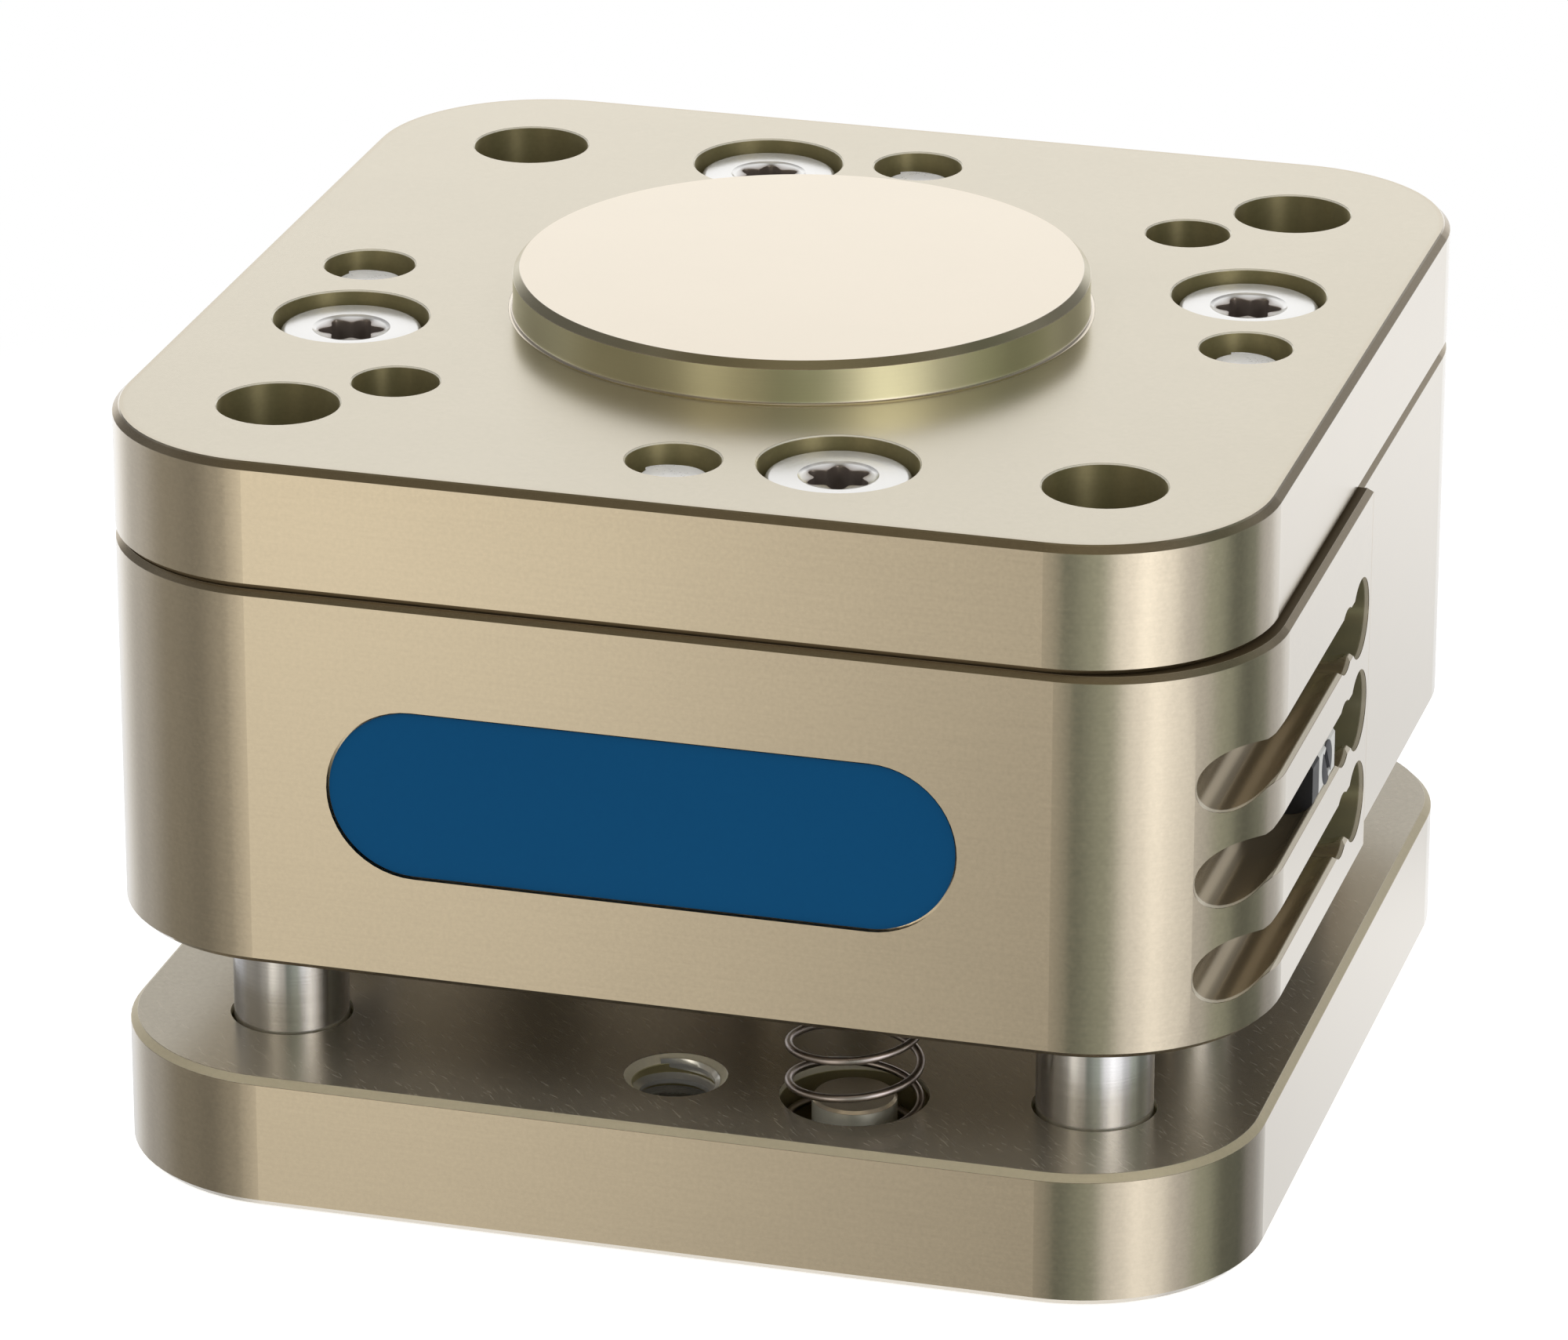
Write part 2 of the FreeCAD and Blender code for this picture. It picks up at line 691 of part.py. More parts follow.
for number, (x, y) in enumerate(spring_places(), start=1):
    parts[f"return_spring_{number}"] = return_spring(x, y)
    parts[f"spring_pin_{number}"] = spring_pin(x, y)

os.makedirs("parts", exist_ok=True)
for name, shape in parts.items():
    shape.exportStep(f"parts/{name}.step")
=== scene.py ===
import math

import bmesh
import bpy
from mathutils import Matrix, Vector


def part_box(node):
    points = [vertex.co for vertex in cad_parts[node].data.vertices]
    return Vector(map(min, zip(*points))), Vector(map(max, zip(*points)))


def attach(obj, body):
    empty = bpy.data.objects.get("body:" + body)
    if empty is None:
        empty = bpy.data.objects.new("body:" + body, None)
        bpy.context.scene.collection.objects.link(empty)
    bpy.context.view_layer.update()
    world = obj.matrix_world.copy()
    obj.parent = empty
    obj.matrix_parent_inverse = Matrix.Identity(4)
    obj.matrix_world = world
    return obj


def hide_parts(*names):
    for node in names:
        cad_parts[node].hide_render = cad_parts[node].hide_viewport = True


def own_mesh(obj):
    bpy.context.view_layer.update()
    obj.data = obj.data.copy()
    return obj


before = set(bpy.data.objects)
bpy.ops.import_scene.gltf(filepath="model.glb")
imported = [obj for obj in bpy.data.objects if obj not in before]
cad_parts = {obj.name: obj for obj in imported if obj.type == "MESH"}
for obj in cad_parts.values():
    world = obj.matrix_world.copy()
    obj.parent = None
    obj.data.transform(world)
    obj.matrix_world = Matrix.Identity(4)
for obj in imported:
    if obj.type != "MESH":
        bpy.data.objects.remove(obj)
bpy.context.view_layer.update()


# Tool plate
# A square block of aluminium, milled all over, its edges broken, then hard anodised to a pale champagne.
# All that stays with the tool is screwed or pressed into it. Its upper face is dull, with hair scratches.
mm = 0.001
plate_half = 40.0 * mm
plate_corner = 12.8 * mm
tool_plate_top = 9.6 * mm
tool_holes_foot = 3.3 * mm
tool_edge_foot = tool_plate_top - 0.5 * mm
mouth_foot = tool_plate_top - 0.57 * mm
mouth_head = tool_plate_top - 0.03 * mm
outer_skin = 0.7 * mm
inner_metal = 0.9 * mm
blend = 0.02 * mm
champagne_dark = (0.565, 0.489, 0.370)
champagne_pale = (0.765, 0.661, 0.500)
hole_wall_painted_shade = (0.62, 0.62, 0.42)
chamfer_painted_shade = (0.76, 0.73, 0.68)
tool_edge_painted_shade = (0.80, 0.81, 0.74)
mouth_painted_light = (1.65, 1.75, 1.95)
tool_face_shade = (0.63, 0.655, 0.68)
hair_shade = (1.15, 1.14, 1.12)
hair_metallic = 0.58
hair_levels = (0.07, 0.27)
hairs_and_turns = [((700, 5600, 700), 35), ((500, 7000, 500), 52)]


class Value:
    """A value in a node tree. Arithmetic on it adds Math nodes to that tree."""

    def __init__(self, socket):
        self.socket = socket
        self.tree = socket.id_data

    def to(self, socket):
        """Joins the value to the input of a node."""
        self.tree.links.new(self.socket, socket)

    def by(self, operation, other=0.0):
        """The result of one Math node on this value and another."""
        return from_node(self.tree, "ShaderNodeMath", {0: self, 1: other}, operation=operation)

    def __add__(self, other):
        return self.by("ADD", other)

    def __sub__(self, other):
        return self.by("SUBTRACT", other)

    def __rsub__(self, other):
        return from_node(self.tree, "ShaderNodeMath", {0: other, 1: self}, operation="SUBTRACT")

    def __mul__(self, other):
        return self.by("MULTIPLY", other)

    def __truediv__(self, other):
        return self.by("DIVIDE", other)

    def parts(self):
        """The three parts of a vector."""
        return [Value(part) for part in node_of(self.tree, "ShaderNodeSeparateXYZ", {0: self}).outputs]

    def rising(self, low, high):
        """Nought at the low value and before it, one at the high one and past it, and smooth between."""
        ends = {"Value": self, "From Min": low, "From Max": high}
        return from_node(self.tree, "ShaderNodeMapRange", ends, "Result", interpolation_type="SMOOTHSTEP")


def node_of(tree, kind, inputs=(), **settings):
    """A new node with its settings, and its inputs joined to values or set to plain ones."""
    node = tree.nodes.new(kind)
    for setting, value in settings.items():
        setattr(node, setting, value)
    for key, value in dict(inputs).items():
        if isinstance(value, Value):
            value.to(node.inputs[key])
        else:
            node.inputs[key].default_value = value
    return node


def from_node(tree, kind, inputs=(), output=0, **settings):
    """The value that a new node puts out."""
    return Value(node_of(tree, kind, inputs, **settings).outputs[output])


def from_group(finish, group):
    """The values that a shared group puts out in a finish."""
    return [Value(part) for part in node_of(finish.node_tree, "ShaderNodeGroup", node_tree=group).outputs]


def object_place(tree):
    """The place in the piece's own frame."""
    return from_node(tree, "ShaderNodeTexCoord", output="Object")


def empty_tree(name, kind, inputs, outputs):
    """An empty node tree, its inputs by name and its outputs. Each is listed with its sort."""
    tree = bpy.data.node_groups.new(name, kind)
    for in_out, sockets in (("INPUT", inputs), ("OUTPUT", outputs)):
        for title, sort in sockets.items():
            tree.interface.new_socket(title, in_out=in_out, socket_type="NodeSocket" + sort)
    given = {socket.name: Value(socket) for socket in tree.nodes.new("NodeGroupInput").outputs}
    return tree, given, tree.nodes.new("NodeGroupOutput").inputs


def fine_grain_group():
    """Cloudy grain, turned about the upright axis and drawn out along any axis by its marks per metre."""
    group, given, made = empty_tree(
        "fine grain", "ShaderNodeTree", {"Marks per metre": "Vector", "Turn": "Float"}, {"Grain": "Float"})
    swung = from_node(group, "ShaderNodeVectorRotate", {
        "Vector": object_place(group), "Angle": given["Turn"]}, rotation_type="Z_AXIS")
    drawn = from_node(group, "ShaderNodeVectorMath", {
        0: swung, 1: given["Marks per metre"]}, operation="MULTIPLY")
    cloud = from_node(group, "ShaderNodeTexNoise", {
        "Vector": drawn, "Scale": 1.0, "Detail": 2.5, "Roughness": 0.6}, "Fac")
    cloud.to(made["Grain"])
    return group


fine_grain = fine_grain_group()


def grain(tree, marks, turn=0.0):
    """Grain about nought, from a half below to a half above."""
    drawn = {"Marks per metre": marks, "Turn": turn}
    return from_node(tree, "ShaderNodeGroup", drawn, node_tree=fine_grain) - 0.5


def of_type(sockets, kind):
    """The sockets that carry one type of value."""
    return [socket for socket in sockets if socket.type == kind]


def shader_of(finish):
    """The inputs of a finish's shader."""
    return finish.node_tree.nodes["Principled BSDF"].inputs


def worked_finish(name, dark, pale, dull, marks, relief, metallic=1.0, dull_spread=0.2):
    """A finish whose tone, gloss and relief follow the marks of its making.
    Each sort of mark is given by its marks per metre on the level and upright, and its weight."""
    finish = bpy.data.materials.new(name)
    finish.use_nodes = True
    finish.diffuse_color = (*pale, 1.0)
    tree = finish.node_tree
    shader = shader_of(finish)
    shader["Metallic"].default_value = metallic
    worn = 0.0
    for level, upright, weight in marks:
        worn = grain(tree, (level, level, upright)) * weight + worn
    all_of_it = 1.0
    worn = worn * all_of_it
    worn.socket.node.name = "grain left"
    tone = node_of(tree, "ShaderNodeMix", {"Factor": worn + 0.5}, name="tone", data_type="RGBA")
    for socket, colour in zip(of_type(tone.inputs, "RGBA"), (dark, pale)):
        socket.default_value = (*colour, 1.0)
    Value(of_type(tone.outputs, "RGBA")[0]).to(shader["Base Color"])
    (worn * dull_spread + dull).to(shader["Roughness"])
    bump = from_node(tree, "ShaderNodeBump", {"Strength": 0.5, "Distance": relief, "Height": worn}, "Normal")
    bump.to(shader["Normal"])
    return finish


def set_all_over(finish, **values):
    """Sets values that are the same all over a finish. An underscore in a title stands for a space."""
    for title, value in values.items():
        shader_of(finish)[title.replace("_", " ")].default_value = value


def led_to(socket, mask, value):
    """Leads a socket to another value where the mask is one. A colour is toned by it."""
    mix = node_of(mask.tree, "ShaderNodeMix", {"Factor": mask})
    if socket.type == "RGBA":
        mix.data_type = "RGBA"
        mix.blend_type = "MULTIPLY"
    before, after = of_type(mix.inputs, socket.type)[-2:]
    if socket.is_linked:
        Value(socket.links[0].from_socket).to(before)
    else:
        before.default_value = socket.default_value
    if isinstance(value, Value):
        value.to(after)
    else:
        after.default_value = (*value, 1.0) if socket.type == "RGBA" else value
    Value(of_type(mix.outputs, socket.type)[0]).to(socket)


def reworked(finish, mask, shade, dull, metallic=1.0, grain_left=1.0, skin=0.0):
    """Gives part of a piece a shade, gloss, grain and skin of its own where the mask is one."""
    shader = shader_of(finish)
    led_to(shader["Base Color"], mask, shade)
    led_to(shader["Metallic"], mask, metallic)
    led_to(shader["Roughness"], mask, dull)
    led_to(shader["Coat Weight"], mask, skin)
    led_to(finish.node_tree.nodes["grain left"].inputs[1], mask, grain_left)


def from_bath(finish, name, depth):
    """The same finish from another load of the bath, a little deeper or paler."""
    batch = finish.copy()
    batch.name = name
    for socket in of_type(batch.node_tree.nodes["tone"].inputs, "RGBA"):
        socket.default_value = (*[depth * part for part in socket.default_value[:3]], 1.0)
    return batch


def plate_place_group():
    """How far a place lies inside the plates' rounded square outline, and its height."""
    group, _, made = empty_tree("place in plate", "ShaderNodeTree", {}, {"Inset": "Float", "Height": "Float"})
    x, y, z = object_place(group).parts()
    straight = plate_half - plate_corner
    past_x, past_y = [(side.by("ABSOLUTE") - straight).by("MAXIMUM", 0.0) for side in (x, y)]
    (plate_corner - (past_x * past_x + past_y * past_y).by("SQRT")).to(made["Inset"])
    z.to(made["Height"])
    return group


plate_place = plate_place_group()


def between(height, low, high):
    """One between two heights, nought beyond them."""
    return height.rising(low - blend, low + blend) - height.rising(high - blend, high + blend)


def hole_walls(inset, height, low, high):
    """One on the walls of the holes between two heights, nought on the outside."""
    return inset.rising(outer_skin, inner_metal) * between(height, low, high)


anodised = worked_finish(
    "champagne anodised", champagne_dark, champagne_pale, dull=0.16, dull_spread=0.10,
    marks=[(160, 160, 0.20), (3000, 3000, 0.70), (110, 5600, 0.30)], relief=0.0018 * mm)
bath_skin = {"Coat_Weight": 1.0, "Coat_Roughness": 0.14, "Coat_IOR": 1.6}
set_all_over(anodised, **bath_skin)
tool_finish = from_bath(anodised, "champagne anodised tool plate", 0.95)
inset, height = from_group(tool_finish, plate_place)
tool_holes = hole_walls(inset, height, tool_holes_foot, tool_edge_foot)
tool_edge = between(height, tool_edge_foot + blend, tool_plate_top - blend)
tool_mouths = hole_walls(inset, height, mouth_foot, mouth_head)
tool_face = height.rising(tool_plate_top - 2 * blend, tool_plate_top)
# Painted shade: the walls of the holes and pockets are toned darker and more olive than the faces.
reworked(tool_finish, tool_holes, hole_wall_painted_shade, metallic=0.5, dull=0.34, grain_left=0.4)
# Painted shade: the chamfer round the upper face is toned a little darker and less yellow, and made more
# matt.
reworked(tool_finish, tool_edge, tool_edge_painted_shade, metallic=0.55, dull=0.42, grain_left=0.8)
# Painted light: the countersinks at the hole mouths are toned much paler and made matt, standing for the
# bright outside they mirror.
reworked(tool_finish, tool_mouths, mouth_painted_light, metallic=0.3, dull=0.6, grain_left=0.8)
reworked(tool_finish, tool_face, tool_face_shade, metallic=0.8, dull=0.26, grain_left=1.3)
for marks, turn in hairs_and_turns:
    hairs = grain(tool_finish.node_tree, marks, math.radians(turn)).rising(*hair_levels) * tool_face
    led_to(shader_of(tool_finish)["Base Color"], hairs, hair_shade)
    led_to(shader_of(tool_finish)["Metallic"], hairs, hair_metallic)


def give(finish, *nodes):
    """Puts a finish on pieces whose solids have the right shape."""
    for node in nodes:
        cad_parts[node].material_slots[0].material = finish


give(tool_finish, "tool_plate")


# Threads cut in the tool plate
# Four M6 threads right through the plate on the bolt circle, tapped after the bath, so bare metal shows.
# One ridge winds round the wall of each hole and runs out at either end. Painted shade darkens it deep in the
# hole.
bolt_circle = 31.5 * mm
thread_wall = 3.03 * mm
thread_crest = 2.50 * mm
thread_pitch = 1.0 * mm
thread_foot = 0.65 * mm
thread_head = 9.0 * mm
flank_width = 0.31
doubles_within = 1e-7
painted_shade_from_below = (1.0 * mm, 2.2 * mm)
painted_shade_from_above = (7.9 * mm, 6.6 * mm)
thread_painted_shade = (0.22, 0.20, 0.15)
bare_aluminium = worked_finish(
    "bare aluminium", (0.78, 0.77, 0.72), (0.97, 0.96, 0.92), metallic=0.62, dull=0.20,
    marks=[(900, 900, 0.6), (4000, 4000, 0.4)], relief=0.002 * mm)
thread_finish = from_bath(bare_aluminium, "cut thread", 1.0)
_, height = from_group(thread_finish, plate_place)
# Painted shade: a band of the thread deep in the hole, away from both mouths, is toned dark.
painted_shade_band = height.rising(*painted_shade_from_above) * height.rising(*painted_shade_from_below)
reworked(thread_finish, painted_shade_band, thread_painted_shade, metallic=0.85, dull=0.3)


def wound(radius, turn, height):
    """A point from its radius, turn about the axis and height."""
    return from_node(turn.tree, "ShaderNodeCombineXYZ", {
        "X": radius * turn.by("COSINE"), "Y": radius * turn.by("SINE"), "Z": height})


def finished(shape, given, made):
    """Ends a tree with real meshes that carry the finish."""
    solid = from_node(shape.tree, "GeometryNodeRealizeInstances", {"Geometry": shape})
    dressed = from_node(shape.tree, "GeometryNodeSetMaterial", {
        "Geometry": solid, "Material": given["Finish"]})
    dressed.to(made["Mesh"])
    return shape.tree


def thread_ridge_tree():
    """A thread's ridge wound round a wall, inwards or outwards, which runs out at either end."""
    tree, given, made = empty_tree("thread ridge", "GeometryNodeTree", {
        "Wall radius": "Float", "Crest radius": "Float", "Pitch": "Float", "Bottom": "Float",
        "Top": "Float", "Steps": "Int", "Finish": "Material"}, {"Mesh": "Geometry"})
    strip = from_node(tree, "GeometryNodeMeshGrid", {
        "Size X": 1.0, "Size Y": 1.0, "Vertices Y": 5, "Vertices X": given["Steps"]}, "Mesh")
    x, y, _ = from_node(tree, "GeometryNodeInputPosition").parts()
    along = x + 0.5
    turns = (given["Top"] - given["Bottom"]) / given["Pitch"]
    turn = turns * along
    flank = ((y + 0.5) * 4.0).by("ROUND").by("FLOORED_MODULO", 4.0)
    from_crest = flank - 1.5
    lift = (1.5 - from_crest.by("ABSOLUTE")).by("MAXIMUM", 0.0).by("MINIMUM", 1.0)
    near_end = along.by("MINIMUM", 1.0 - along)
    run_out = (near_end * turns * 2.0).by("MINIMUM", 1.0)
    depth = given["Crest radius"] - given["Wall radius"]
    radius = given["Wall radius"] + depth * lift * run_out
    height = (turn + from_crest * flank_width) * given["Pitch"] + given["Bottom"]
    move = from_node(tree, "GeometryNodeSetPosition", {
        "Geometry": strip, "Position": wound(radius, turn * (2 * math.pi), height)})
    weld = from_node(tree, "GeometryNodeMergeByDistance", {"Geometry": move, "Distance": doubles_within})
    return finished(weld, given, made)


def ring_of_pieces_tree():
    """The same piece at even steps round the unit's axis, each given a small turn of its own."""
    tree, given, made = empty_tree("ring of pieces", "GeometryNodeTree", {
        "Piece": "Object", "Count": "Int", "Circle": "Float", "First angle": "Float",
        "Turn spread": "Float", "Seed": "Int", "Finish": "Material"}, {"Mesh": "Geometry"})
    circle = from_node(tree, "GeometryNodeMeshCircle", {
        "Vertices": given["Count"], "Radius": given["Circle"]})
    aim = from_node(tree, "ShaderNodeCombineXYZ", {"Z": given["First angle"]})
    swing = from_node(tree, "GeometryNodeTransform", {"Geometry": circle, "Rotation": aim})
    piece = from_node(tree, "GeometryNodeObjectInfo", {"Object": given["Piece"]}, "Geometry")
    chance = node_of(tree, "FunctionNodeRandomValue", {"Seed": given["Seed"]}, data_type="FLOAT")
    low, high = of_type(chance.inputs, "VALUE")[:2]
    (given["Turn spread"] * -1.0).to(low)
    given["Turn spread"].to(high)
    turn = from_node(tree, "ShaderNodeCombineXYZ", {"Z": Value(of_type(chance.outputs, "VALUE")[0])})
    set_out = from_node(tree, "GeometryNodeInstanceOnPoints", {
        "Points": swing, "Instance": piece, "Rotation": turn})
    return finished(set_out, given, made)


def placed(name, data):
    """A new object in the scene."""
    thing = bpy.data.objects.new(name, data)
    bpy.context.scene.collection.objects.link(thing)
    return thing


def made_by(tree, name, **sizes):
    """Runs a tree with its inputs set, and keeps the result as a plain mesh."""
    holder = placed(name, bpy.data.meshes.new(name))
    maker = holder.modifiers.new("maker", "NODES")
    maker.node_group = tree
    for item in tree.interface.items_tree:
        key = item.name.lower().replace(" ", "_")
        if item.in_out == "INPUT" and key in sizes:
            maker[item.identifier] = sizes[key]
    seen = holder.evaluated_get(bpy.context.evaluated_depsgraph_get())
    mesh = bpy.data.meshes.new_from_object(seen)
    holder.modifiers.remove(maker)
    holder.data = mesh
    mesh.name = name
    return holder


def faced_out(piece, sharp_over):
    """Merges doubles, turns all faces outwards and shades them smooth up to an angle."""
    body = bmesh.new()
    body.from_mesh(piece.data)
    bmesh.ops.remove_doubles(body, verts=body.verts, dist=doubles_within)
    bmesh.ops.recalc_face_normals(body, faces=body.faces)
    for face in body.faces:
        face.smooth = True
    for edge in body.edges:
        edge.smooth = len(edge.link_faces) == 2 and edge.calc_face_angle(0.0) < math.radians(sharp_over)
    body.to_mesh(piece.data)
    body.free()
    return piece


thread_ridge = thread_ridge_tree()
ring_of_pieces = ring_of_pieces_tree()


def thread(name, **sizes):
    """One thread from its sizes, shaded so that its crests stay crisp."""
    return faced_out(made_by(thread_ridge, name, **sizes), sharp_over=25)


def set_round(name, piece, circle, first_angle, finish, turn_spread=0.0, seed=1):
    """Four of a piece round the unit's axis, as one mesh. The pattern piece is thrown away."""
    ring = made_by(ring_of_pieces, name, piece=piece, count=4, circle=circle, first_angle=first_angle,
                   turn_spread=turn_spread, seed=seed, finish=finish)
    bpy.data.objects.remove(piece, do_unlink=True)
    return ring


one_thread = thread("tool_thread", wall_radius=thread_wall, crest_radius=thread_crest, pitch=thread_pitch,
                    bottom=thread_foot, top=thread_head, steps=420, finish=thread_finish)
tool_threads = set_round("tool_threads", one_thread, bolt_circle, 0.0, thread_finish)
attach(tool_threads, "tool_side")


# Guide columns
# Four hardened steel columns, ground to a near mirror, pressed into the tool plate.
# The grinding leaves hair lines round them.
ground_steel = worked_finish(
    "ground steel", (0.72, 0.71, 0.72), (0.98, 0.97, 0.98), dull=0.19, dull_spread=0.06,
    marks=[(60, 9000, 0.6), (900, 900, 0.25)], relief=0.004 * mm)


def marked_round(finish):
    """Lets the marks round upright walls draw the shine out up and down them."""
    from_node(finish.node_tree, "ShaderNodeCombineXYZ", {"Z": 1.0}).to(shader_of(finish)["Tangent"])


marked_round(ground_steel)
set_all_over(ground_steel, Anisotropic=0.9)
give(ground_steel, "guide_column_1", "guide_column_2", "guide_column_3", "guide_column_4")


# Screws that hold the columns
# Four countersunk steel screws with a hexagon socket, driven up into the columns from below.
# Nickel plated, so they are bright with a few dull patches. The socket is painted dark as shade.
column_circle = 28.5 * math.sqrt(2) * mm
column_screw_head = 3.80 * mm
column_screw_face = 0.02 * mm
column_screw_cone = 1.86 * mm
column_screw_shank = 1.95 * mm
column_screw_point = 0.4 * mm
column_screw_length = 12.0 * mm
column_screw_socket = 1.25 * mm
column_socket_depth = 1.5 * mm
socket_taper = 0.98
socket_lead = 1.22
lobe_swell = 0.17
socket_painted_shade = (0.30, 0.255, 0.225)
nickel = worked_finish(
    "bright nickel", (0.86, 0.85, 0.83), (0.98, 0.97, 0.95), metallic=0.75, dull=0.22,
    marks=[(500, 500, 0.4), (3200, 3200, 0.5)], relief=0.002 * mm)
# Painted shade: rings marked as sunk, inside the sockets, are toned dark.
sunk = from_node(nickel.node_tree, "ShaderNodeAttribute", output="Fac", attribute_name="sunk")
led_to(shader_of(nickel)["Base Color"], sunk, socket_painted_shade)


def ring_radius(radius, form, turn):
    """How far a ring of a turned or broached piece reaches at an angle."""
    if form == "hexagon":
        return radius / math.cos((turn + math.pi / 6) % (math.pi / 3) - math.pi / 6)
    if form == "lobed":
        return radius * (1 + lobe_swell * math.cos(6 * turn))
    return radius


def turned(name, rings, ring_steps=96):
    """A closed piece from rings of radius and height, listed from the middle of one end to the other.
    The rings of a socket have a form as well, and are marked as sunk, for the shade the nickel finish paints
    there."""
    body = bmesh.new()
    sunk = body.verts.layers.float.new("sunk")
    rows = []
    for radius, height, *form in rings:
        row = []
        for step in range(ring_steps if radius else 1):
            turn = 2 * math.pi * step / ring_steps
            reach = ring_radius(radius, form[0] if form else "round", turn)
            row.append(body.verts.new((reach * math.cos(turn), reach * math.sin(turn), height)))
            row[-1][sunk] = 1.0 if form else 0.0
        rows.append(row)
    for lower, upper in zip(rows, rows[1:]):
        for step in range(ring_steps):
            after = (step + 1) % ring_steps
            corners = [lower[step % len(lower)], lower[after % len(lower)],
                       upper[after % len(upper)], upper[step % len(upper)]]
            body.faces.new(list(dict.fromkeys(corners)))
    mesh = bpy.data.meshes.new(name)
    body.to_mesh(mesh)
    body.free()
    return faced_out(placed(name, mesh), sharp_over=28)


one_screw = turned("column_screw", [
    (0, column_socket_depth, "floor"), (column_screw_socket * socket_taper, column_socket_depth, "hexagon"),
    (column_screw_socket, 0.12 * mm, "hexagon"), (column_screw_socket * socket_lead, column_screw_face),
    (column_screw_head - 0.25 * mm, column_screw_face), (column_screw_head - 0.06 * mm, 0.06 * mm),
    (column_screw_shank, column_screw_cone), (column_screw_shank, column_screw_length - column_screw_point),
    (column_screw_shank - column_screw_point, column_screw_length), (0, column_screw_length)])
column_screws = set_round("column_screws_dressed", one_screw, column_circle, math.pi / 4, nickel,
                          turn_spread=0.5, seed=7)
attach(column_screws, "tool_side")
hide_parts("column_screws")


# Spring pins
# A short turned pin stands in each spring pocket and keeps the coil upright.
# Aluminium, anodised as the plate is, pressed into the pocket's floor.
spring_x = 12.5 * mm
spring_y = -31.2 * mm
spring_circle = math.hypot(spring_x, spring_y)
spring_first_angle = math.atan2(spring_y, spring_x)
pocket_floor = 4.0 * mm
pin_radius = 2.9 * mm
pin_shank = 1.5 * mm
pin_foot = pocket_floor - 2.4 * mm
pin_edge = 0.2 * mm
pin_wall_painted_light = (1.05, 1.18, 1.32)
# Painted light: the pins' finish is a quarter paler than the plate's, standing for the light on their side.
pin_finish = from_bath(anodised, "champagne anodised pins", 1.25)
set_all_over(pin_finish, Metallic=0.55, Anisotropic=0.9, Coat_Weight=0.0)
marked_round(pin_finish)


def upper_face(height, level):
    """One on an upper face, nought from a hair below it."""
    below = 0.03 * mm
    close = 0.005 * mm
    return height.rising(level - below, level - close)


_, height = from_group(pin_finish, plate_place)
pin_top = upper_face(height, tool_plate_top)
pin_wall = height.rising(tool_plate_top - pin_edge - blend, tool_plate_top - pin_edge - 2 * blend)
# Painted light: the pin's wall is toned paler and cooler still.
reworked(pin_finish, pin_wall, pin_wall_painted_light, metallic=0.6, dull=0.42, grain_left=0.6)
reworked(pin_finish, pin_top, tool_face_shade, metallic=0.8, dull=0.3, grain_left=0.6)
one_pin = turned("spring_pin", [
    (0, pin_foot), (pin_shank, pin_foot), (pin_shank, pocket_floor), (pin_radius, pocket_floor),
    (pin_radius, tool_plate_top - pin_edge), (pin_radius - pin_edge, tool_plate_top), (0, tool_plate_top)])
spring_pins = set_round("spring_pins_dressed", one_pin, spring_circle, spring_first_angle, pin_finish)
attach(spring_pins, "tool_side")
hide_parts("spring_pin_1", "spring_pin_2", "spring_pin_3", "spring_pin_4")


# Return springs
# Four coils of hard drawn steel wire, each with a closed turn at either end.
# They stand on the pocket floors and push up into chambers in the housing.
coil_radius = 4.465 * mm
wire_radius = 0.285 * mm
coil_bottom = pocket_floor + wire_radius
coil_top = 26.18 * mm - wire_radius
coil_pitch = 2.75 * mm
closed_pitch = 0.7 * mm
coil_start = math.radians(171)
spring_steel = worked_finish(
    "drawn spring wire", (0.33, 0.29, 0.275), (0.54, 0.48, 0.46), dull=0.30,
    marks=[(1500, 1500, 0.6), (300, 300, 0.4)], relief=0.003 * mm)


def coil_spring_tree():
    """A wire wound into a coil, with one closed turn at either end."""
    tree, given, made = empty_tree("coil spring", "GeometryNodeTree", {
        "Coil radius": "Float", "Wire radius": "Float", "Bottom": "Float", "Top": "Float", "Pitch": "Float",
        "Closed pitch": "Float", "Start": "Float", "Finish": "Material"}, {"Mesh": "Geometry"})
    line = from_node(tree, "GeometryNodeCurvePrimitiveLine")
    steps = from_node(tree, "GeometryNodeResampleCurve", {"Curve": line, "Count": 420})
    along = from_node(tree, "GeometryNodeSplineParameter", output="Factor")
    open_turns = (given["Top"] - given["Bottom"] - given["Closed pitch"] * 2.0) / given["Pitch"]
    turn = along * (open_turns + 2.0)
    after_first = turn - 1.0
    first = turn.by("MINIMUM", 1.0) * given["Closed pitch"]
    middle = after_first.by("MAXIMUM", 0.0).by("MINIMUM", open_turns) * given["Pitch"]
    last = (after_first - open_turns).by("MAXIMUM", 0.0) * given["Closed pitch"]
    height = first + middle + (last + given["Bottom"])
    heading = turn * (2 * math.pi) + given["Start"]
    bend = from_node(tree, "GeometryNodeSetPosition", {
        "Geometry": steps, "Position": wound(given["Coil radius"], heading, height)})
    wire = from_node(tree, "GeometryNodeCurvePrimitiveCircle", {
        "Resolution": 12, "Radius": given["Wire radius"]})
    drawn = from_node(tree, "GeometryNodeCurveToMesh", {
        "Curve": bend, "Profile Curve": wire, "Fill Caps": True})
    return finished(drawn, given, made)


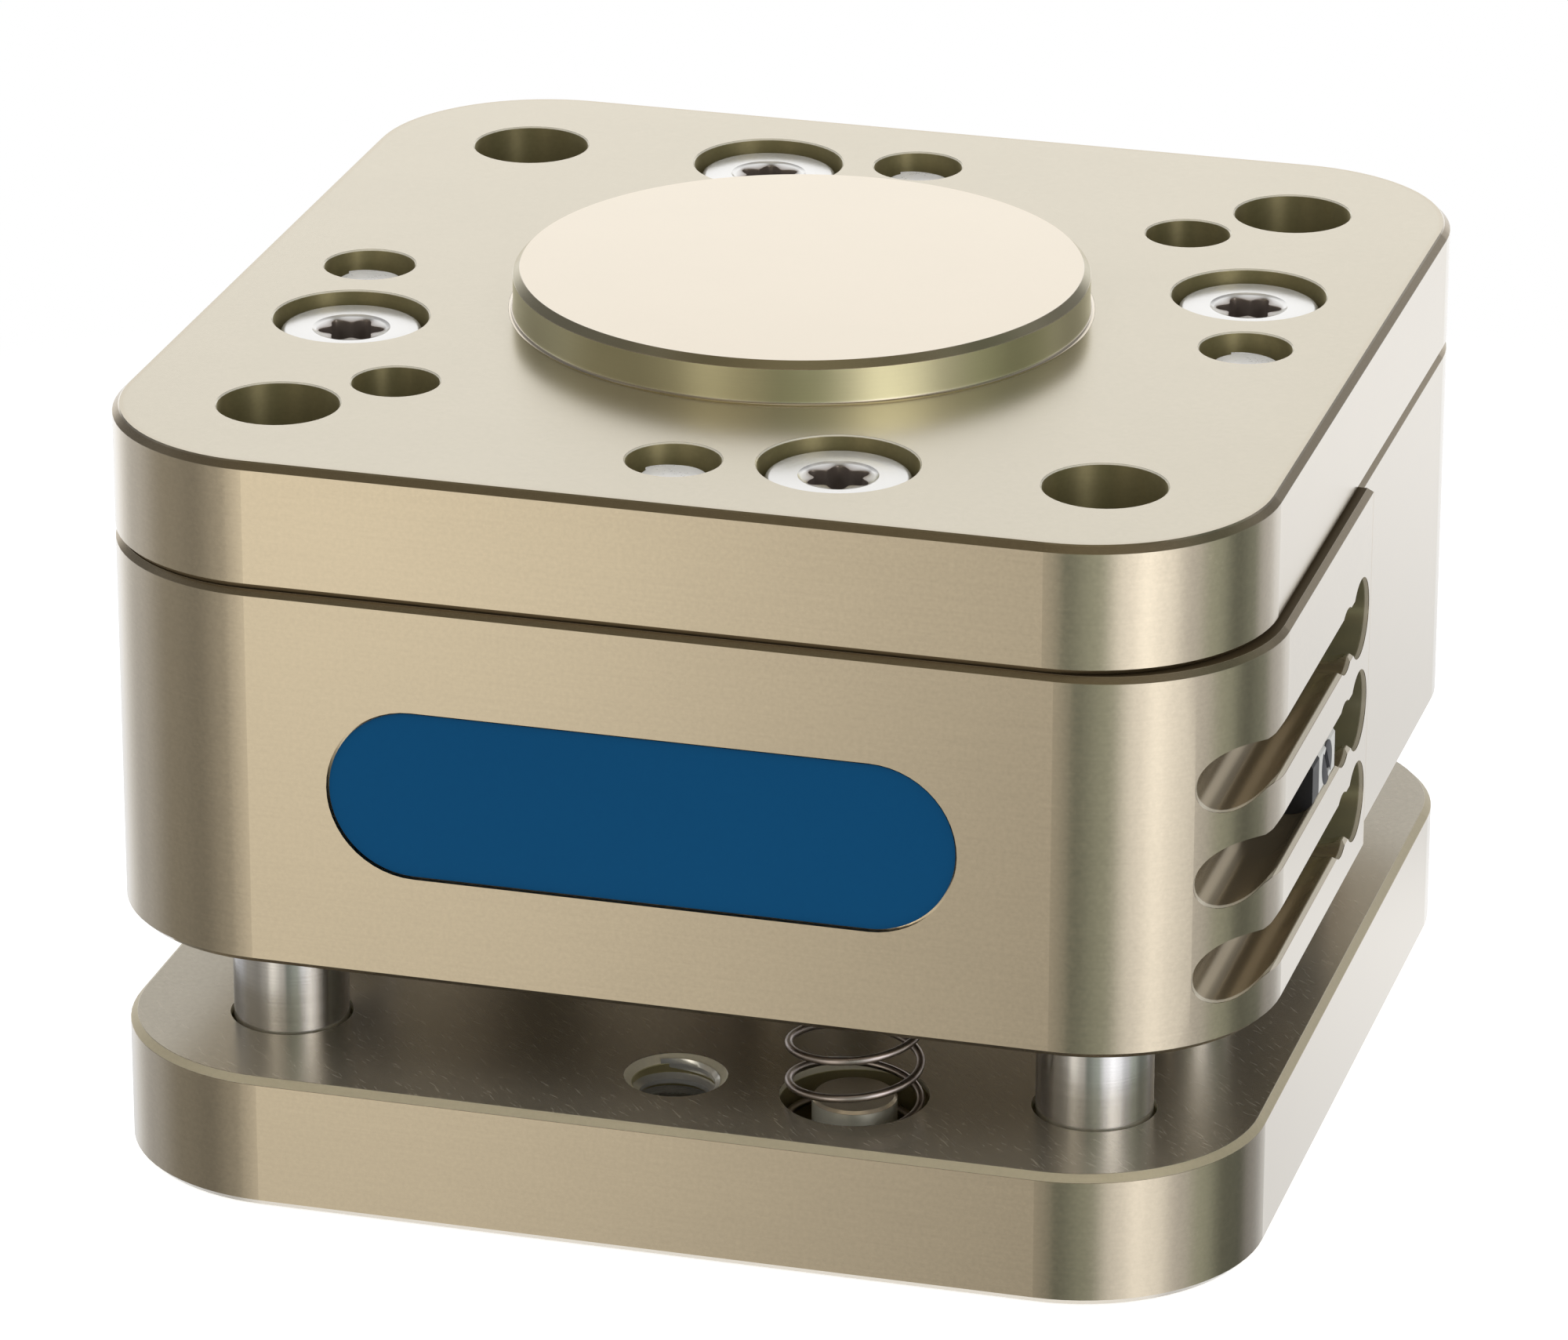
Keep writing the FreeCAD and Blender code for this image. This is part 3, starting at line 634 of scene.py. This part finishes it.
one_spring = made_by(coil_spring_tree(), "return_spring", coil_radius=coil_radius, wire_radius=wire_radius,
                     bottom=coil_bottom, top=coil_top, pitch=coil_pitch, closed_pitch=closed_pitch,
                     start=coil_start, finish=spring_steel)
springs = set_round("return_springs", one_spring, spring_circle, spring_first_angle, spring_steel)
faced_out(springs, sharp_over=60)
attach(springs, "tool_side")
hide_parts("return_spring_1", "return_spring_2", "return_spring_3", "return_spring_4")
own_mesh(springs)


# Piston rod, its screw, and the magnet on its own rod
# The rod is ground steel, held to the tool plate by a headless screw.
# The thin rod beside it carries a plated magnet past the switch slots.
magnet_plating = worked_finish(
    "magnet plating", (0.56, 0.56, 0.56), (0.70, 0.70, 0.70), dull=0.22,
    marks=[(700, 700, 0.8)], relief=0.002 * mm)
give(ground_steel, "piston_rod", "rod_screw", "magnet_rod")
give(magnet_plating, "switch_magnet")


# Housing
# One block of the same anodised aluminium, bored for the piston and the guide bushes, milled to a proud pad
# on the slotted side, with three switch slots run out through the rounded corner.
# Its joint face is painted dark as shadow.
housing_top = 45.2 * mm
housing_edge_foot = housing_top - 0.38 * mm
housing_edge_head = housing_top - 0.03 * mm
pad_corner = (28.0 * mm, -27.2 * mm)
pad_corner_radius = 12.8 * mm
pad_level = plate_half + 0.1 * mm
pad_rear_edge = (-0.7 * mm, -0.58 * mm)
slots_inmost = 35.5 * mm
slots_rear = -0.9 * mm
slots_low = 19.5 * mm
slots_high = 44.0 * mm
slot_pockets_front = (-7.5 * mm, -6.5 * mm)
rim_depth = (0.03 * mm, 0.06 * mm)
recess_depth = (0.26 * mm, 0.4 * mm)
recess_painted_shade = (0.58, 0.55, 0.48)
slot_pocket_painted_shade = (0.88, 1.0, 0.98)
slot_rim_painted_highlight = (0.95, 1.0, 1.05)
rear_edge_painted_highlight = (1.25, 1.3, 1.4)
joint_painted_shade = (0.20, 0.17, 0.12)


def recess_group():
    """Masks: shade painted inside the slots below the pad's face and rounded corner and in the pockets at
    their rear ends, a pale band painted round their rims, and a highlight painted on the pad's rear edge."""
    group, _, made = empty_tree("slot recess", "ShaderNodeTree", {}, {
        "Recess": "Float", "Pocket": "Float", "Rim": "Float", "Rear edge": "Float"})
    x, y, z = object_place(group).parts()
    across = (x - pad_corner[0]).by("MAXIMUM", 0.0)
    along = (pad_corner[1] - y).by("MAXIMUM", 0.0)
    depth = pad_corner_radius - (across * across + along * along).by("SQRT")
    near = x.by("GREATER_THAN", slots_inmost) * y.by("LESS_THAN", slots_rear)
    near = near * z.by("GREATER_THAN", slots_low) * z.by("LESS_THAN", slots_high)
    inside = depth.rising(*recess_depth)
    recess = inside * near
    recess.to(made["Recess"])
    (recess * y.rising(*slot_pockets_front)).to(made["Pocket"])
    ((depth.rising(*rim_depth) - inside) * near).to(made["Rim"])
    (y.rising(*pad_rear_edge) * x.by("GREATER_THAN", pad_level)).to(made["Rear edge"])
    return group


housing_finish = from_bath(anodised, "champagne anodised housing", 0.95)
recess, slot_pocket, rim, rear_edge = from_group(housing_finish, recess_group())
_, height = from_group(housing_finish, plate_place)
housing_edge = between(height, housing_edge_foot, housing_edge_head)
joint_face = upper_face(height, housing_top)
# Painted shade: the inside of the slots is toned darker and browner, and the pockets at their rear ends
# greener.
reworked(housing_finish, recess, recess_painted_shade, metallic=0.80, dull=0.20, grain_left=0.3)
reworked(housing_finish, slot_pocket, slot_pocket_painted_shade, metallic=0.70, dull=0.28, grain_left=0.3)
# Painted highlight: a band just inside the slot rims escapes the painted shade, is tinted cooler and made
# matt, so it reads pale.
reworked(housing_finish, rim, slot_rim_painted_highlight, metallic=0.35, dull=0.3, grain_left=0.5)
# Painted highlight: the pad's rear edge is toned paler, for the light its edge catches.
reworked(housing_finish, rear_edge, rear_edge_painted_highlight, dull=0.3)
# Painted shade: the housing's upper chamfer is toned darker.
reworked(housing_finish, housing_edge, chamfer_painted_shade, dull=0.25, skin=0.2)
# Painted shadow: the exposed joint face beside the top plate is toned dark.
reworked(housing_finish, joint_face, joint_painted_shade, metallic=0.6, dull=0.5, grain_left=0.5)
give(housing_finish, "housing")


# Guide bushes, rod bush and seals
# Sintered bronze bushes pressed into the housing from below. A rubber lip seal sits above the rod bush,
# a flat rubber bumper on the bore's floor and a rubber ring under the top plate.
bronze = worked_finish(
    "sintered bronze", (0.40, 0.25, 0.11), (0.62, 0.42, 0.22), dull=0.36, dull_spread=0.3,
    marks=[(2400, 2400, 0.8), (400, 400, 0.3)], relief=0.004 * mm)
rubber = worked_finish(
    "black rubber", (0.014, 0.014, 0.015), (0.032, 0.032, 0.033), metallic=0.0, dull=0.62, dull_spread=0.3,
    marks=[(1800, 1800, 0.7), (300, 300, 0.3)], relief=0.006 * mm)
give(bronze, "guide_bush_1", "guide_bush_2", "guide_bush_3", "guide_bush_4", "rod_bush")
give(rubber, "rod_seal", "stop_bumper", "cover_seal", "piston_seal")


# Piston and its screw
# A turned aluminium piston, left bare, clamped on the rod by a steel cap screw.
# Both are shut inside the housing.
turned_aluminium = worked_finish(
    "turned aluminium", (0.66, 0.66, 0.67), (0.82, 0.82, 0.82), dull=0.27,
    marks=[(120, 6000, 0.7), (800, 800, 0.3)], relief=0.003 * mm)
give(turned_aluminium, "piston")
give(nickel, "piston_screw")


# Badge
# A thin plate with round ends, lacquered deep blue, stuck into its shallow recess on the front.
# The lacquer is flat, with hardly any gloss.
badge_blue = worked_finish(
    "deep blue lacquer", (0.0010, 0.0480, 0.1280), (0.0014, 0.0580, 0.1480), metallic=0.0, dull=0.34,
    dull_spread=0.1, marks=[(60, 60, 0.5), (2500, 2500, 0.4)], relief=0.002 * mm)
set_all_over(badge_blue, Specular_IOR_Level=0.06)
give(badge_blue, "badge_plate")


# Clamp in the middle slot
# A black moulded bar slid into the middle slot, with a pale head at its rear end
# and a small slotted screw of blackened steel through the head that locks it against the slot's floor.
moulding_marks = [(900, 900, 0.5), (3500, 3500, 0.4)]
clamp_black = worked_finish(
    "black moulding", (0.010, 0.010, 0.011), (0.030, 0.030, 0.032), metallic=0.0, dull=0.38,
    marks=moulding_marks, relief=0.004 * mm)
clamp_white = worked_finish(
    "pale moulding", (0.50, 0.50, 0.48), (0.64, 0.64, 0.62), metallic=0.0, dull=0.50,
    marks=moulding_marks, relief=0.004 * mm)
black_steel = worked_finish(
    "blackened steel", (0.045, 0.045, 0.05), (0.10, 0.10, 0.11), metallic=0.3, dull=0.55,
    marks=moulding_marks, relief=0.002 * mm)
set_all_over(clamp_black, Specular_IOR_Level=0.2)
set_all_over(black_steel, Specular_IOR_Level=0.2)
give(clamp_black, "clamp_body")
give(clamp_white, "clamp_head")
clamp_screw_low, clamp_screw_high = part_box("clamp_screw")
clamp_screw_radius = (clamp_screw_high.z - clamp_screw_low.z) / 2
clamp_screw_length = clamp_screw_high.x - clamp_screw_low.x
clamp_screw_rim = 1.55 * mm
clamp_screw_proud = 0.09 * mm
clamp_rim_bevel = (0.08 * mm, 0.03 * mm)
clamp_slot_depth = 0.55 * mm
clamp_slot_width = 0.5 * mm
clamp_slot_turn = 0.6


def slotted_screw(name, radius, length, rim, proud, bevel, slot_depth, slot_width, steps=40):
    """A round bar along Z whose upper end has a thin rim and is parted by a straight slot."""
    slot_floor = length - slot_depth
    piece = turned(name, [
        (0, 0), (radius, 0), (radius, slot_floor), (radius * 0.98, slot_floor), (0, slot_floor)])
    body = bmesh.new()
    body.from_mesh(piece.data)
    neck = radius * 0.985
    bevel_in, bevel_down = bevel
    half_rings = [(neck, slot_floor - 0.01 * mm), (neck, length), (rim, length),
                  (rim, length + proud - bevel_down), (rim - bevel_in, length + proud)]
    start = math.asin(slot_width / 2 / neck)
    for side in (1, -1):
        rows = []
        for reach, height in half_rings:
            row = []
            for step in range(steps + 1):
                turn = start + (math.pi - 2 * start) * step / steps
                beside = max(reach * math.sin(turn), slot_width / 2)
                row.append(body.verts.new((reach * math.cos(turn), side * beside, height)))
            rows.append(row)
        for lower, upper in zip(rows, rows[1:]):
            for step in range(steps + 1):
                after = (step + 1) % (steps + 1)
                body.faces.new((lower[step], lower[after], upper[after], upper[step]))
        body.faces.new(rows[0])
        body.faces.new(rows[-1])
    body.to_mesh(piece.data)
    body.free()
    return faced_out(piece, sharp_over=28)


clamp_screw = slotted_screw("clamp_screw_dressed", clamp_screw_radius, clamp_screw_length, clamp_screw_rim,
                            clamp_screw_proud, clamp_rim_bevel, clamp_slot_depth, clamp_slot_width)
middle = (clamp_screw_low + clamp_screw_high) / 2
seat = Matrix.Translation((clamp_screw_low.x, middle.y, middle.z))
lying = Matrix.Rotation(math.pi / 2, 4, "Y") @ Matrix.Rotation(clamp_slot_turn, 4, "Z")
clamp_screw.data.transform(seat @ lying)
clamp_screw.data.materials.append(black_steel)
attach(clamp_screw, "robot_side")
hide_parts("clamp_screw")


# Air port
# A small thread tapped in the back of the housing for the air line.
# The ridge is the thread's own, cut after the bath.
port_middle = Vector((12.0 * mm, 40.0 * mm, 40.2 * mm))
port_thread = thread("port_thread", wall_radius=2.12 * mm, crest_radius=1.85 * mm, pitch=0.8 * mm,
                     bottom=0.6 * mm, top=9.0 * mm, steps=420, finish=bare_aluminium)
port_thread.data.transform(Matrix.Translation(port_middle) @ Matrix.Rotation(math.pi / 2, 4, "X"))
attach(port_thread, "robot_side")


# Top plate
# The robot side plate, milled and anodised like the housing, drilled for the flange. Its upper face is
# blasted to a fine satin. The holes have dull walls with painted shade that deepens downwards and painted
# bright rims, and the edge on the housing is painted dark as shadow.
top_plate_top = 54.2 * mm
top_holes_foot = housing_top - 0.1 * mm
top_holes_head = top_plate_top - 0.11 * mm
hole_rims_foot = top_plate_top - 0.10 * mm
hole_rims_head = top_plate_top - 0.01 * mm
top_edge_foot = top_plate_top - 0.48 * mm
top_edge_head = top_plate_top - 0.10 * mm
lower_edge_head = (housing_top + 0.50 * mm, housing_top + 0.44 * mm)
deep_from = (top_plate_top - 0.8 * mm, top_plate_top - 3.4 * mm)
satin_shade = (1.00, 1.04, 1.09)
hole_rim_painted_highlight = (1.30, 1.42, 1.55)
deep_painted_shade = (0.86, 0.86, 0.84)
top_finish = from_bath(anodised, "champagne anodised top plate", 1.0)
inset, height = from_group(top_finish, plate_place)
satin_face = upper_face(height, top_plate_top)
top_holes = hole_walls(inset, height, top_holes_foot, top_holes_head)
hole_rims = hole_walls(inset, height, hole_rims_foot, hole_rims_head)
outer_edge = between(height, top_edge_foot, top_edge_head) * inset.rising(inner_metal, outer_skin)
lower_edge = height.rising(*lower_edge_head)
reworked(top_finish, satin_face, satin_shade, dull=0.24, grain_left=0.35)
# Painted shade: the hole walls are toned darker and more olive than the faces.
reworked(top_finish, top_holes, hole_wall_painted_shade, metallic=0.80, dull=0.50)
# Painted highlight: a thin band at each hole's rim is toned much paler and made matt.
reworked(top_finish, hole_rims, hole_rim_painted_highlight, metallic=0.5, dull=0.3, grain_left=0.5)
# Painted shade: the outer chamfer round the upper face is toned darker.
reworked(top_finish, outer_edge, chamfer_painted_shade, dull=0.25, skin=0.2)
# Painted shadow: the lowest half millimetre of the top plate, along the joint, is toned dark.
reworked(top_finish, lower_edge, joint_painted_shade, metallic=0.8, dull=0.4, grain_left=0.5)
marked_round(top_finish)
led_to(shader_of(top_finish)["Anisotropic"], top_holes, 1.0)
# Painted shade: the hole walls are toned darker with depth.
led_to(shader_of(top_finish)["Base Color"], top_holes * height.rising(*deep_from), deep_painted_shade)
give(top_finish, "top_plate")


# Cap screws of the top plate
# Four low headed steel screws with a six lobed socket, sunk in counterbores, hold the plate to the housing.
# Bright nickel, with a flat ring round a shallow cone that leads into the socket.
cap_circle = 31.2 * mm
cap_angle = math.radians(20.0)
cap_seat = 50.1 * mm
cap_top = 53.4 * mm
cap_head = 4.9 * mm
cap_round = 0.4 * mm
cap_round_steps = 5
cap_shank = 2.45 * mm
cap_bevel = 0.5 * mm
cap_point = cap_seat - 12.0 * mm
lobe_radius = 1.9 * mm
lobe_floor = cap_top - 1.9 * mm
cap_rings = [
    (0, cap_point), (cap_shank - cap_bevel, cap_point), (cap_shank, cap_point + cap_bevel),
    (cap_shank, cap_seat), (cap_head, cap_seat), (cap_head, cap_top - cap_round)]
for step in range(1, cap_round_steps + 1):
    bow = math.radians(90 * step / cap_round_steps)
    cap_rings.append((cap_head - cap_round * (1 - math.cos(bow)), cap_top - cap_round * (1 - math.sin(bow))))
cap_rings += [
    (2.70 * mm, cap_top), (2.60 * mm, cap_top - 0.06 * mm), (2.45 * mm, cap_top - 0.12 * mm),
    (lobe_radius * 1.02, cap_top - 0.20 * mm, "lobed"), (lobe_radius, cap_top - 0.32 * mm, "lobed"),
    (lobe_radius * 0.97, lobe_floor, "lobed"),
    (0.6 * mm, lobe_floor - 0.25 * mm, "floor"), (0, lobe_floor - 0.3 * mm, "floor")]
plate_screws = set_round("plate_screws_dressed", turned("plate_screw", cap_rings), cap_circle,
                         cap_angle, nickel, turn_spread=0.45, seed=4)
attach(plate_screws, "robot_side")
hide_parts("plate_screws")


# Captive mounting screws
# Four zinc plated M6 cap screws, dropped into the housing head down before the top plate went on.
# A key from below drives each up into the robot's flange. The tip waits in the top plate's hole.
captive_head = 5.0 * mm
captive_bevel = 0.4 * mm
captive_core = 2.5 * mm
captive_crest = 2.99 * mm
captive_foot = 31.0 * mm
captive_neck = 37.0 * mm
captive_tip = 53.0 * mm
captive_socket = 2.5 * mm
captive_socket_floor = captive_foot + 3.0 * mm
captive_turn = 0.7
zinc = worked_finish(
    "bright zinc", (0.72, 0.71, 0.69), (0.95, 0.94, 0.92), metallic=0.32, dull=0.30,
    marks=[(700, 700, 0.6), (3200, 3200, 0.6)], relief=0.003 * mm)
captive_rings = [
    (0, captive_socket_floor, "floor"), (captive_socket * socket_taper, captive_socket_floor, "hexagon"),
    (captive_socket, captive_foot + 0.3 * mm, "hexagon"), (captive_socket * socket_lead, captive_foot),
    (captive_head - captive_bevel, captive_foot), (captive_head, captive_foot + captive_bevel),
    (captive_head, captive_neck), (captive_crest, captive_neck), (captive_crest, captive_neck + 1.0 * mm),
    (captive_core, captive_neck + 1.5 * mm), (captive_core, captive_tip - 0.6 * mm),
    (captive_core - 0.1 * mm, captive_tip - 0.2 * mm), (captive_core - 0.28 * mm, captive_tip - 0.04 * mm),
    (captive_core - 0.6 * mm, captive_tip), (0, captive_tip)]
captive_ridge = thread("captive_thread", wall_radius=captive_core - 0.03 * mm, crest_radius=captive_crest,
                       pitch=thread_pitch, bottom=captive_neck + 1.2 * mm, top=captive_tip - 0.45 * mm,
                       steps=620, finish=zinc)
for number, angle in enumerate((0, 90, 180, 270), start=1):
    node = f"mounting_screw_{number}"
    captive = turned(node + "_dressed", captive_rings)
    joined = bmesh.new()
    joined.from_mesh(captive.data)
    joined.from_mesh(captive_ridge.data)
    joined.to_mesh(captive.data)
    joined.free()
    about = math.radians(angle)
    place = Matrix.Translation((bolt_circle * math.cos(about), bolt_circle * math.sin(about), 0))
    captive.data.transform(place @ Matrix.Rotation(captive_turn * angle, 4, "Z"))
    captive.data.materials.clear()
    captive.data.materials.append(zinc)
    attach(captive, node)
    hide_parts(node)
bpy.data.objects.remove(captive_ridge, do_unlink=True)


# Centring disc
# A turned disc let into the top plate that centres the unit in the robot's flange.
# Anodised like the plates. Fine marks of the lathe run round its wall, and its face is smooth.
disc_radius = 20.0 * mm
disc_foot = 54.2 * mm
disc_seat = 52.2 * mm
disc_top = 57.2 * mm
disc_edge = 0.5 * mm
disc_edge_foot = disc_top - disc_edge
disc_foot_round = 0.3 * mm
disc_foot_steps = 6
disc_wall_foot = (disc_foot + 0.10 * mm, disc_foot + 0.25 * mm)
disc_wall_head = (disc_edge_foot, disc_edge_foot - 0.03 * mm)
disc_wall_painted_shade = (0.86, 0.93, 0.79)
disc_edge_painted_shade = (0.74, 0.77, 0.70)
disc_finish = worked_finish(
    "turned champagne", (0.76, 0.66, 0.50), (0.86, 0.745, 0.575), dull=0.17, dull_spread=0.1,
    marks=[(160, 160, 0.3), (2600, 2600, 0.3), (60, 7000, 0.5)], relief=0.003 * mm)
set_all_over(disc_finish, **bath_skin)
_, height = from_group(disc_finish, plate_place)
disc_wall = height.rising(*disc_wall_head) * height.rising(*disc_wall_foot)
disc_rim = between(height, disc_edge_foot + blend, disc_top - 0.03 * mm)
# Painted shade: the disc's wall is toned darker and more olive. The fillet at its foot is left out, so it
# stays paler.
reworked(disc_finish, disc_wall, disc_wall_painted_shade, dull=0.40)
# Painted shade: the disc's chamfer is toned darker and greyer.
reworked(disc_finish, disc_rim, disc_edge_painted_shade, dull=0.25, skin=0.2)
marked_round(disc_finish)
led_to(shader_of(disc_finish)["Anisotropic"], disc_wall, 0.9)
disc_rings = [(0, disc_seat), (disc_radius + disc_foot_round, disc_seat)]
for step in range(disc_foot_steps + 1):
    bow = math.radians(90 * step / disc_foot_steps)
    disc_rings.append((disc_radius + disc_foot_round * (1 - math.sin(bow)),
                       disc_foot + disc_foot_round * (1 - math.cos(bow))))
disc_rings += [(disc_radius, disc_edge_foot), (disc_radius - disc_edge, disc_top), (0, disc_top)]
disc = turned("centring_disc_dressed", disc_rings, ring_steps=320)
disc.data.materials.append(disc_finish)
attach(disc, "robot_side")
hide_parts("centring_disc")


# Studio
# A white floor in a round white tent, with warm lamps and grey cards on its wall for the metal to mirror.
# Two broad soft lamps light what isn't metal and throw the shadow on the floor.
scene = bpy.context.scene
scene.view_settings.view_transform = "Standard"
tent_radius = 0.30
tent_low = -0.45
tent_high = 0.42
tent_rise = tent_high - tent_low
white = (1.0, 1.0, 1.0)
lamp_warm = (1.06, 1.0, 0.87)
card_olive = (0.93, 1.0, 0.85)
roof_brown = (1.0, 0.88, 0.60)
brightest = 2.0
tent_wall = [
    (-180, 1.05, white), (-130, 1.05, white), (-97, 0.56, white), (-68, 0.30, lamp_warm),
    (-50, 0.25, lamp_warm), (-34, 0.40, lamp_warm), (-22, 0.96, lamp_warm), (-3, 0.51, lamp_warm),
    (5, 0.23, card_olive), (22, 0.42, card_olive), (37, 1.1, white), (47, 1.45, white),
    (57, 1.18, white), (72, 0.64, white), (86, 0.42, card_olive), (104, 0.17, card_olive),
    (118, 0.26, card_olive), (131, 0.55, white), (160, 0.97, white), (180, 1.05, white)]
tent_heights = [
    (-0.45, 0.5), (-0.15, 0.72), (-0.10, 0.84), (-0.05, 1.0), (0.14, 1.05), (0.19, 0.93), (0.42, 0.6)]
low_cards = [
    (-180, 1.0), (40, 1.0), (60, 1.2), (100, 1.25), (120, 0.65), (146, 0.75), (165, 1.3), (180, 1.1)]
low_cards_head = (-0.100, -0.118)
high_cards = [
    (-180, 1.0), (-146, 1.0), (-136, 0.34), (-120, 0.18), (-100, 0.30), (-76, 0.6), (-54, 0.75), (-40, 0.6),
    (-24, 0.45), (-8, 0.6), (8, 1.05), (20, 0.95), (32, 0.7), (46, 1.2), (58, 1.2), (72, 0.7), (92, 0.85),
    (104, 1.1), (116, 1.0), (128, 0.65), (142, 0.30), (158, 0.20), (172, 0.9), (180, 1.0)]
high_cards_foot = (0.06, 0.12)
level_cards = [(-180, 1.0), (-112, 1.0), (-88, 2.0), (120, 2.0), (140, 1.0), (180, 1.0)]
level_cards_foot = (0.01, 0.03)
level_cards_head = (0.11, 0.09)
overhead = [
    (0, 1.0, white), (40, 0.5, white), (63, 0.13, roof_brown), (75, 0.3, roof_brown),
    (90, 0.8, white)]


def run_of_light(value, stops):
    """A smooth run of light along a value from nought to one, as a share of the brightest."""
    ramp = node_of(value.tree, "ShaderNodeValToRGB", {"Fac": value})
    ramp.color_ramp.interpolation = "EASE"
    points = ramp.color_ramp.elements
    while len(points) < len(stops):
        points.new(0.5)
    for point, (where, level, tint) in zip(points, stops):
        point.position = where
        point.color = (*[level * part / brightest for part in tint], 1.0)
    return Value(ramp.outputs["Color"])


tent_mesh = bpy.data.meshes.new("tent")
sheet = bmesh.new()
bmesh.ops.create_cone(sheet, segments=180, radius1=tent_radius, radius2=tent_radius, depth=tent_rise)
bmesh.ops.translate(sheet, verts=sheet.verts, vec=(0, 0, (tent_high + tent_low) / 2))
sheet.to_mesh(tent_mesh)
sheet.free()
tent = placed("tent", tent_mesh)
tent.visible_camera = False
tent.visible_diffuse = False
tent.visible_transmission = False
tent.visible_shadow = False
tent_cloth = bpy.data.materials.new("tent cloth")
tent_cloth.use_nodes = True
tent_cloth.cycles.emission_sampling = "NONE"
cloth = tent_cloth.node_tree
cloth.nodes.clear()
x, y, z = object_place(cloth).parts()
round_turn = x.by("ARCTAN2", y * -1.0) / (2 * math.pi) + 0.5
wall_light = run_of_light(round_turn, [(turn / 360 + 0.5, level, tint) for turn, level, tint in tent_wall])
height_stops = [((up - tent_low) / tent_rise, level, white) for up, level in tent_heights]
cloth_light = run_of_light((z - tent_low) / tent_rise, height_stops) * brightest
card_spans = [
    (low_cards, z.rising(*low_cards_head)), (high_cards, z.rising(*high_cards_foot)),
    (level_cards, z.rising(*level_cards_foot) * z.rising(*level_cards_head))]
for cards, span in card_spans:
    card_stops = [(turn / 360 + 0.5, level, white) for turn, level in cards]
    card_light = run_of_light(round_turn, card_stops) * brightest
    cloth_light = cloth_light * ((card_light - 1.0) * span + 1.0)
cloth_glow = from_node(cloth, "ShaderNodeEmission", {
    "Color": wall_light, "Strength": cloth_light * brightest})
node_of(cloth, "ShaderNodeOutputMaterial", {"Surface": cloth_glow})
tent_mesh.materials.append(tent_cloth)

surround = bpy.data.worlds.new("white surround")
scene.world = surround
surround.use_nodes = True
surround.cycles.sampling_method = "NONE"
soft_level = 0.55
sky = surround.node_tree
sky.nodes.clear()
_, _, rise = from_node(sky, "ShaderNodeTexCoord", output="Generated").parts()
upward = rise.by("ARCSINE") / (math.pi / 2)
roof = run_of_light(upward, [(up / 90, level, tint) for up, level, tint in overhead])
ray = node_of(sky, "ShaderNodeLightPath").outputs
mirrored = Value(ray["Is Glossy Ray"])
seen = Value(ray["Is Camera Ray"]).by("MAXIMUM", Value(ray["Is Transmission Ray"]))
sky_light = mirrored * (brightest - soft_level) + soft_level
sky_light = (sky_light * (1.0 - seen)).by("MAXIMUM", seen)
glow = node_of(sky, "ShaderNodeBackground", {"Color": (*white, 1.0), "Strength": sky_light})
led_to(glow.inputs["Color"], mirrored, roof)
node_of(sky, "ShaderNodeOutputWorld", {"Surface": Value(glow.outputs[0])})


def soft_lamp(name, place, size, energy):
    """A round lamp that looks at the unit and that the metal doesn't mirror."""
    lamp = bpy.data.lights.new(name, "AREA")
    lamp.shape = "DISK"
    lamp.size = size
    lamp.energy = energy
    holder = placed(name, lamp)
    holder.location = place
    unit_middle = Vector((0, 0, 0.03))
    holder.rotation_euler = (unit_middle - Vector(place)).to_track_quat("-Z", "Y").to_euler()
    holder.visible_glossy = False


soft_lamp("soft lamp left", place=(-0.7, -0.8, 1.2), size=0.9, energy=9.0)
soft_lamp("soft lamp right", place=(0.9, -0.3, 1.0), size=0.8, energy=5.0)

floor_reach = 3.0
floor_level = -0.03 * mm
floor_grey = (0.93, 0.93, 0.93, 1.0)
floor_fill = 0.62
shadow_ends = (0.06, 0.16)
floor_mesh = bpy.data.meshes.new("floor")
floor_sides = ((-1, -1), (1, -1), (1, 1), (-1, 1))
floor_corners = [(floor_reach * x, floor_reach * y, floor_level) for x, y in floor_sides]
floor_mesh.from_pydata(floor_corners, [], [(0, 1, 2, 3)])
floor = placed("floor", floor_mesh)
floor.visible_glossy = False
floor_white = bpy.data.materials.new("floor white")
floor_white.use_nodes = True
paper = floor_white.node_tree
paper.nodes.clear()
matt = from_node(paper, "ShaderNodeBsdfDiffuse", {"Color": floor_grey})
fill = from_node(paper, "ShaderNodeEmission", {"Strength": floor_fill})
lit = from_node(paper, "ShaderNodeAddShader", {0: matt, 1: fill})
bright = from_node(paper, "ShaderNodeEmission")
away = from_node(paper, "ShaderNodeVectorMath", {0: object_place(paper)}, "Value", operation="LENGTH")
near_far = from_node(paper, "ShaderNodeMixShader", {"Fac": away.rising(*shadow_ends), 1: lit, 2: bright})
under = from_node(paper, "ShaderNodeNewGeometry", output="Backfacing")
clear = from_node(paper, "ShaderNodeBsdfTransparent")
two_sided = from_node(paper, "ShaderNodeMixShader", {"Fac": under, 1: near_far, 2: clear})
node_of(paper, "ShaderNodeOutputMaterial", {"Surface": two_sided})
floor_mesh.materials.append(floor_white)


# Camera
# A long lens from the front, a little to the right and above, as for a product shot.
# The sensor is as wide as small format film.
lens = bpy.data.cameras.new("camera")
lens.sensor_width = 36.0
lens.lens = 187.905
lens.clip_start = 0.01
camera = placed("camera", lens)
camera.location = (0.143199, -0.515443, 0.243785)
swing = Matrix.Rotation(math.radians(15.654), 4, "Z")
tilt = Matrix.Rotation(math.radians(90.0 - 22.065), 4, "X")
roll = Matrix.Rotation(math.radians(0.081), 4, "Z")
camera.rotation_euler = (swing @ tilt @ roll).to_euler()
scene.camera = camera
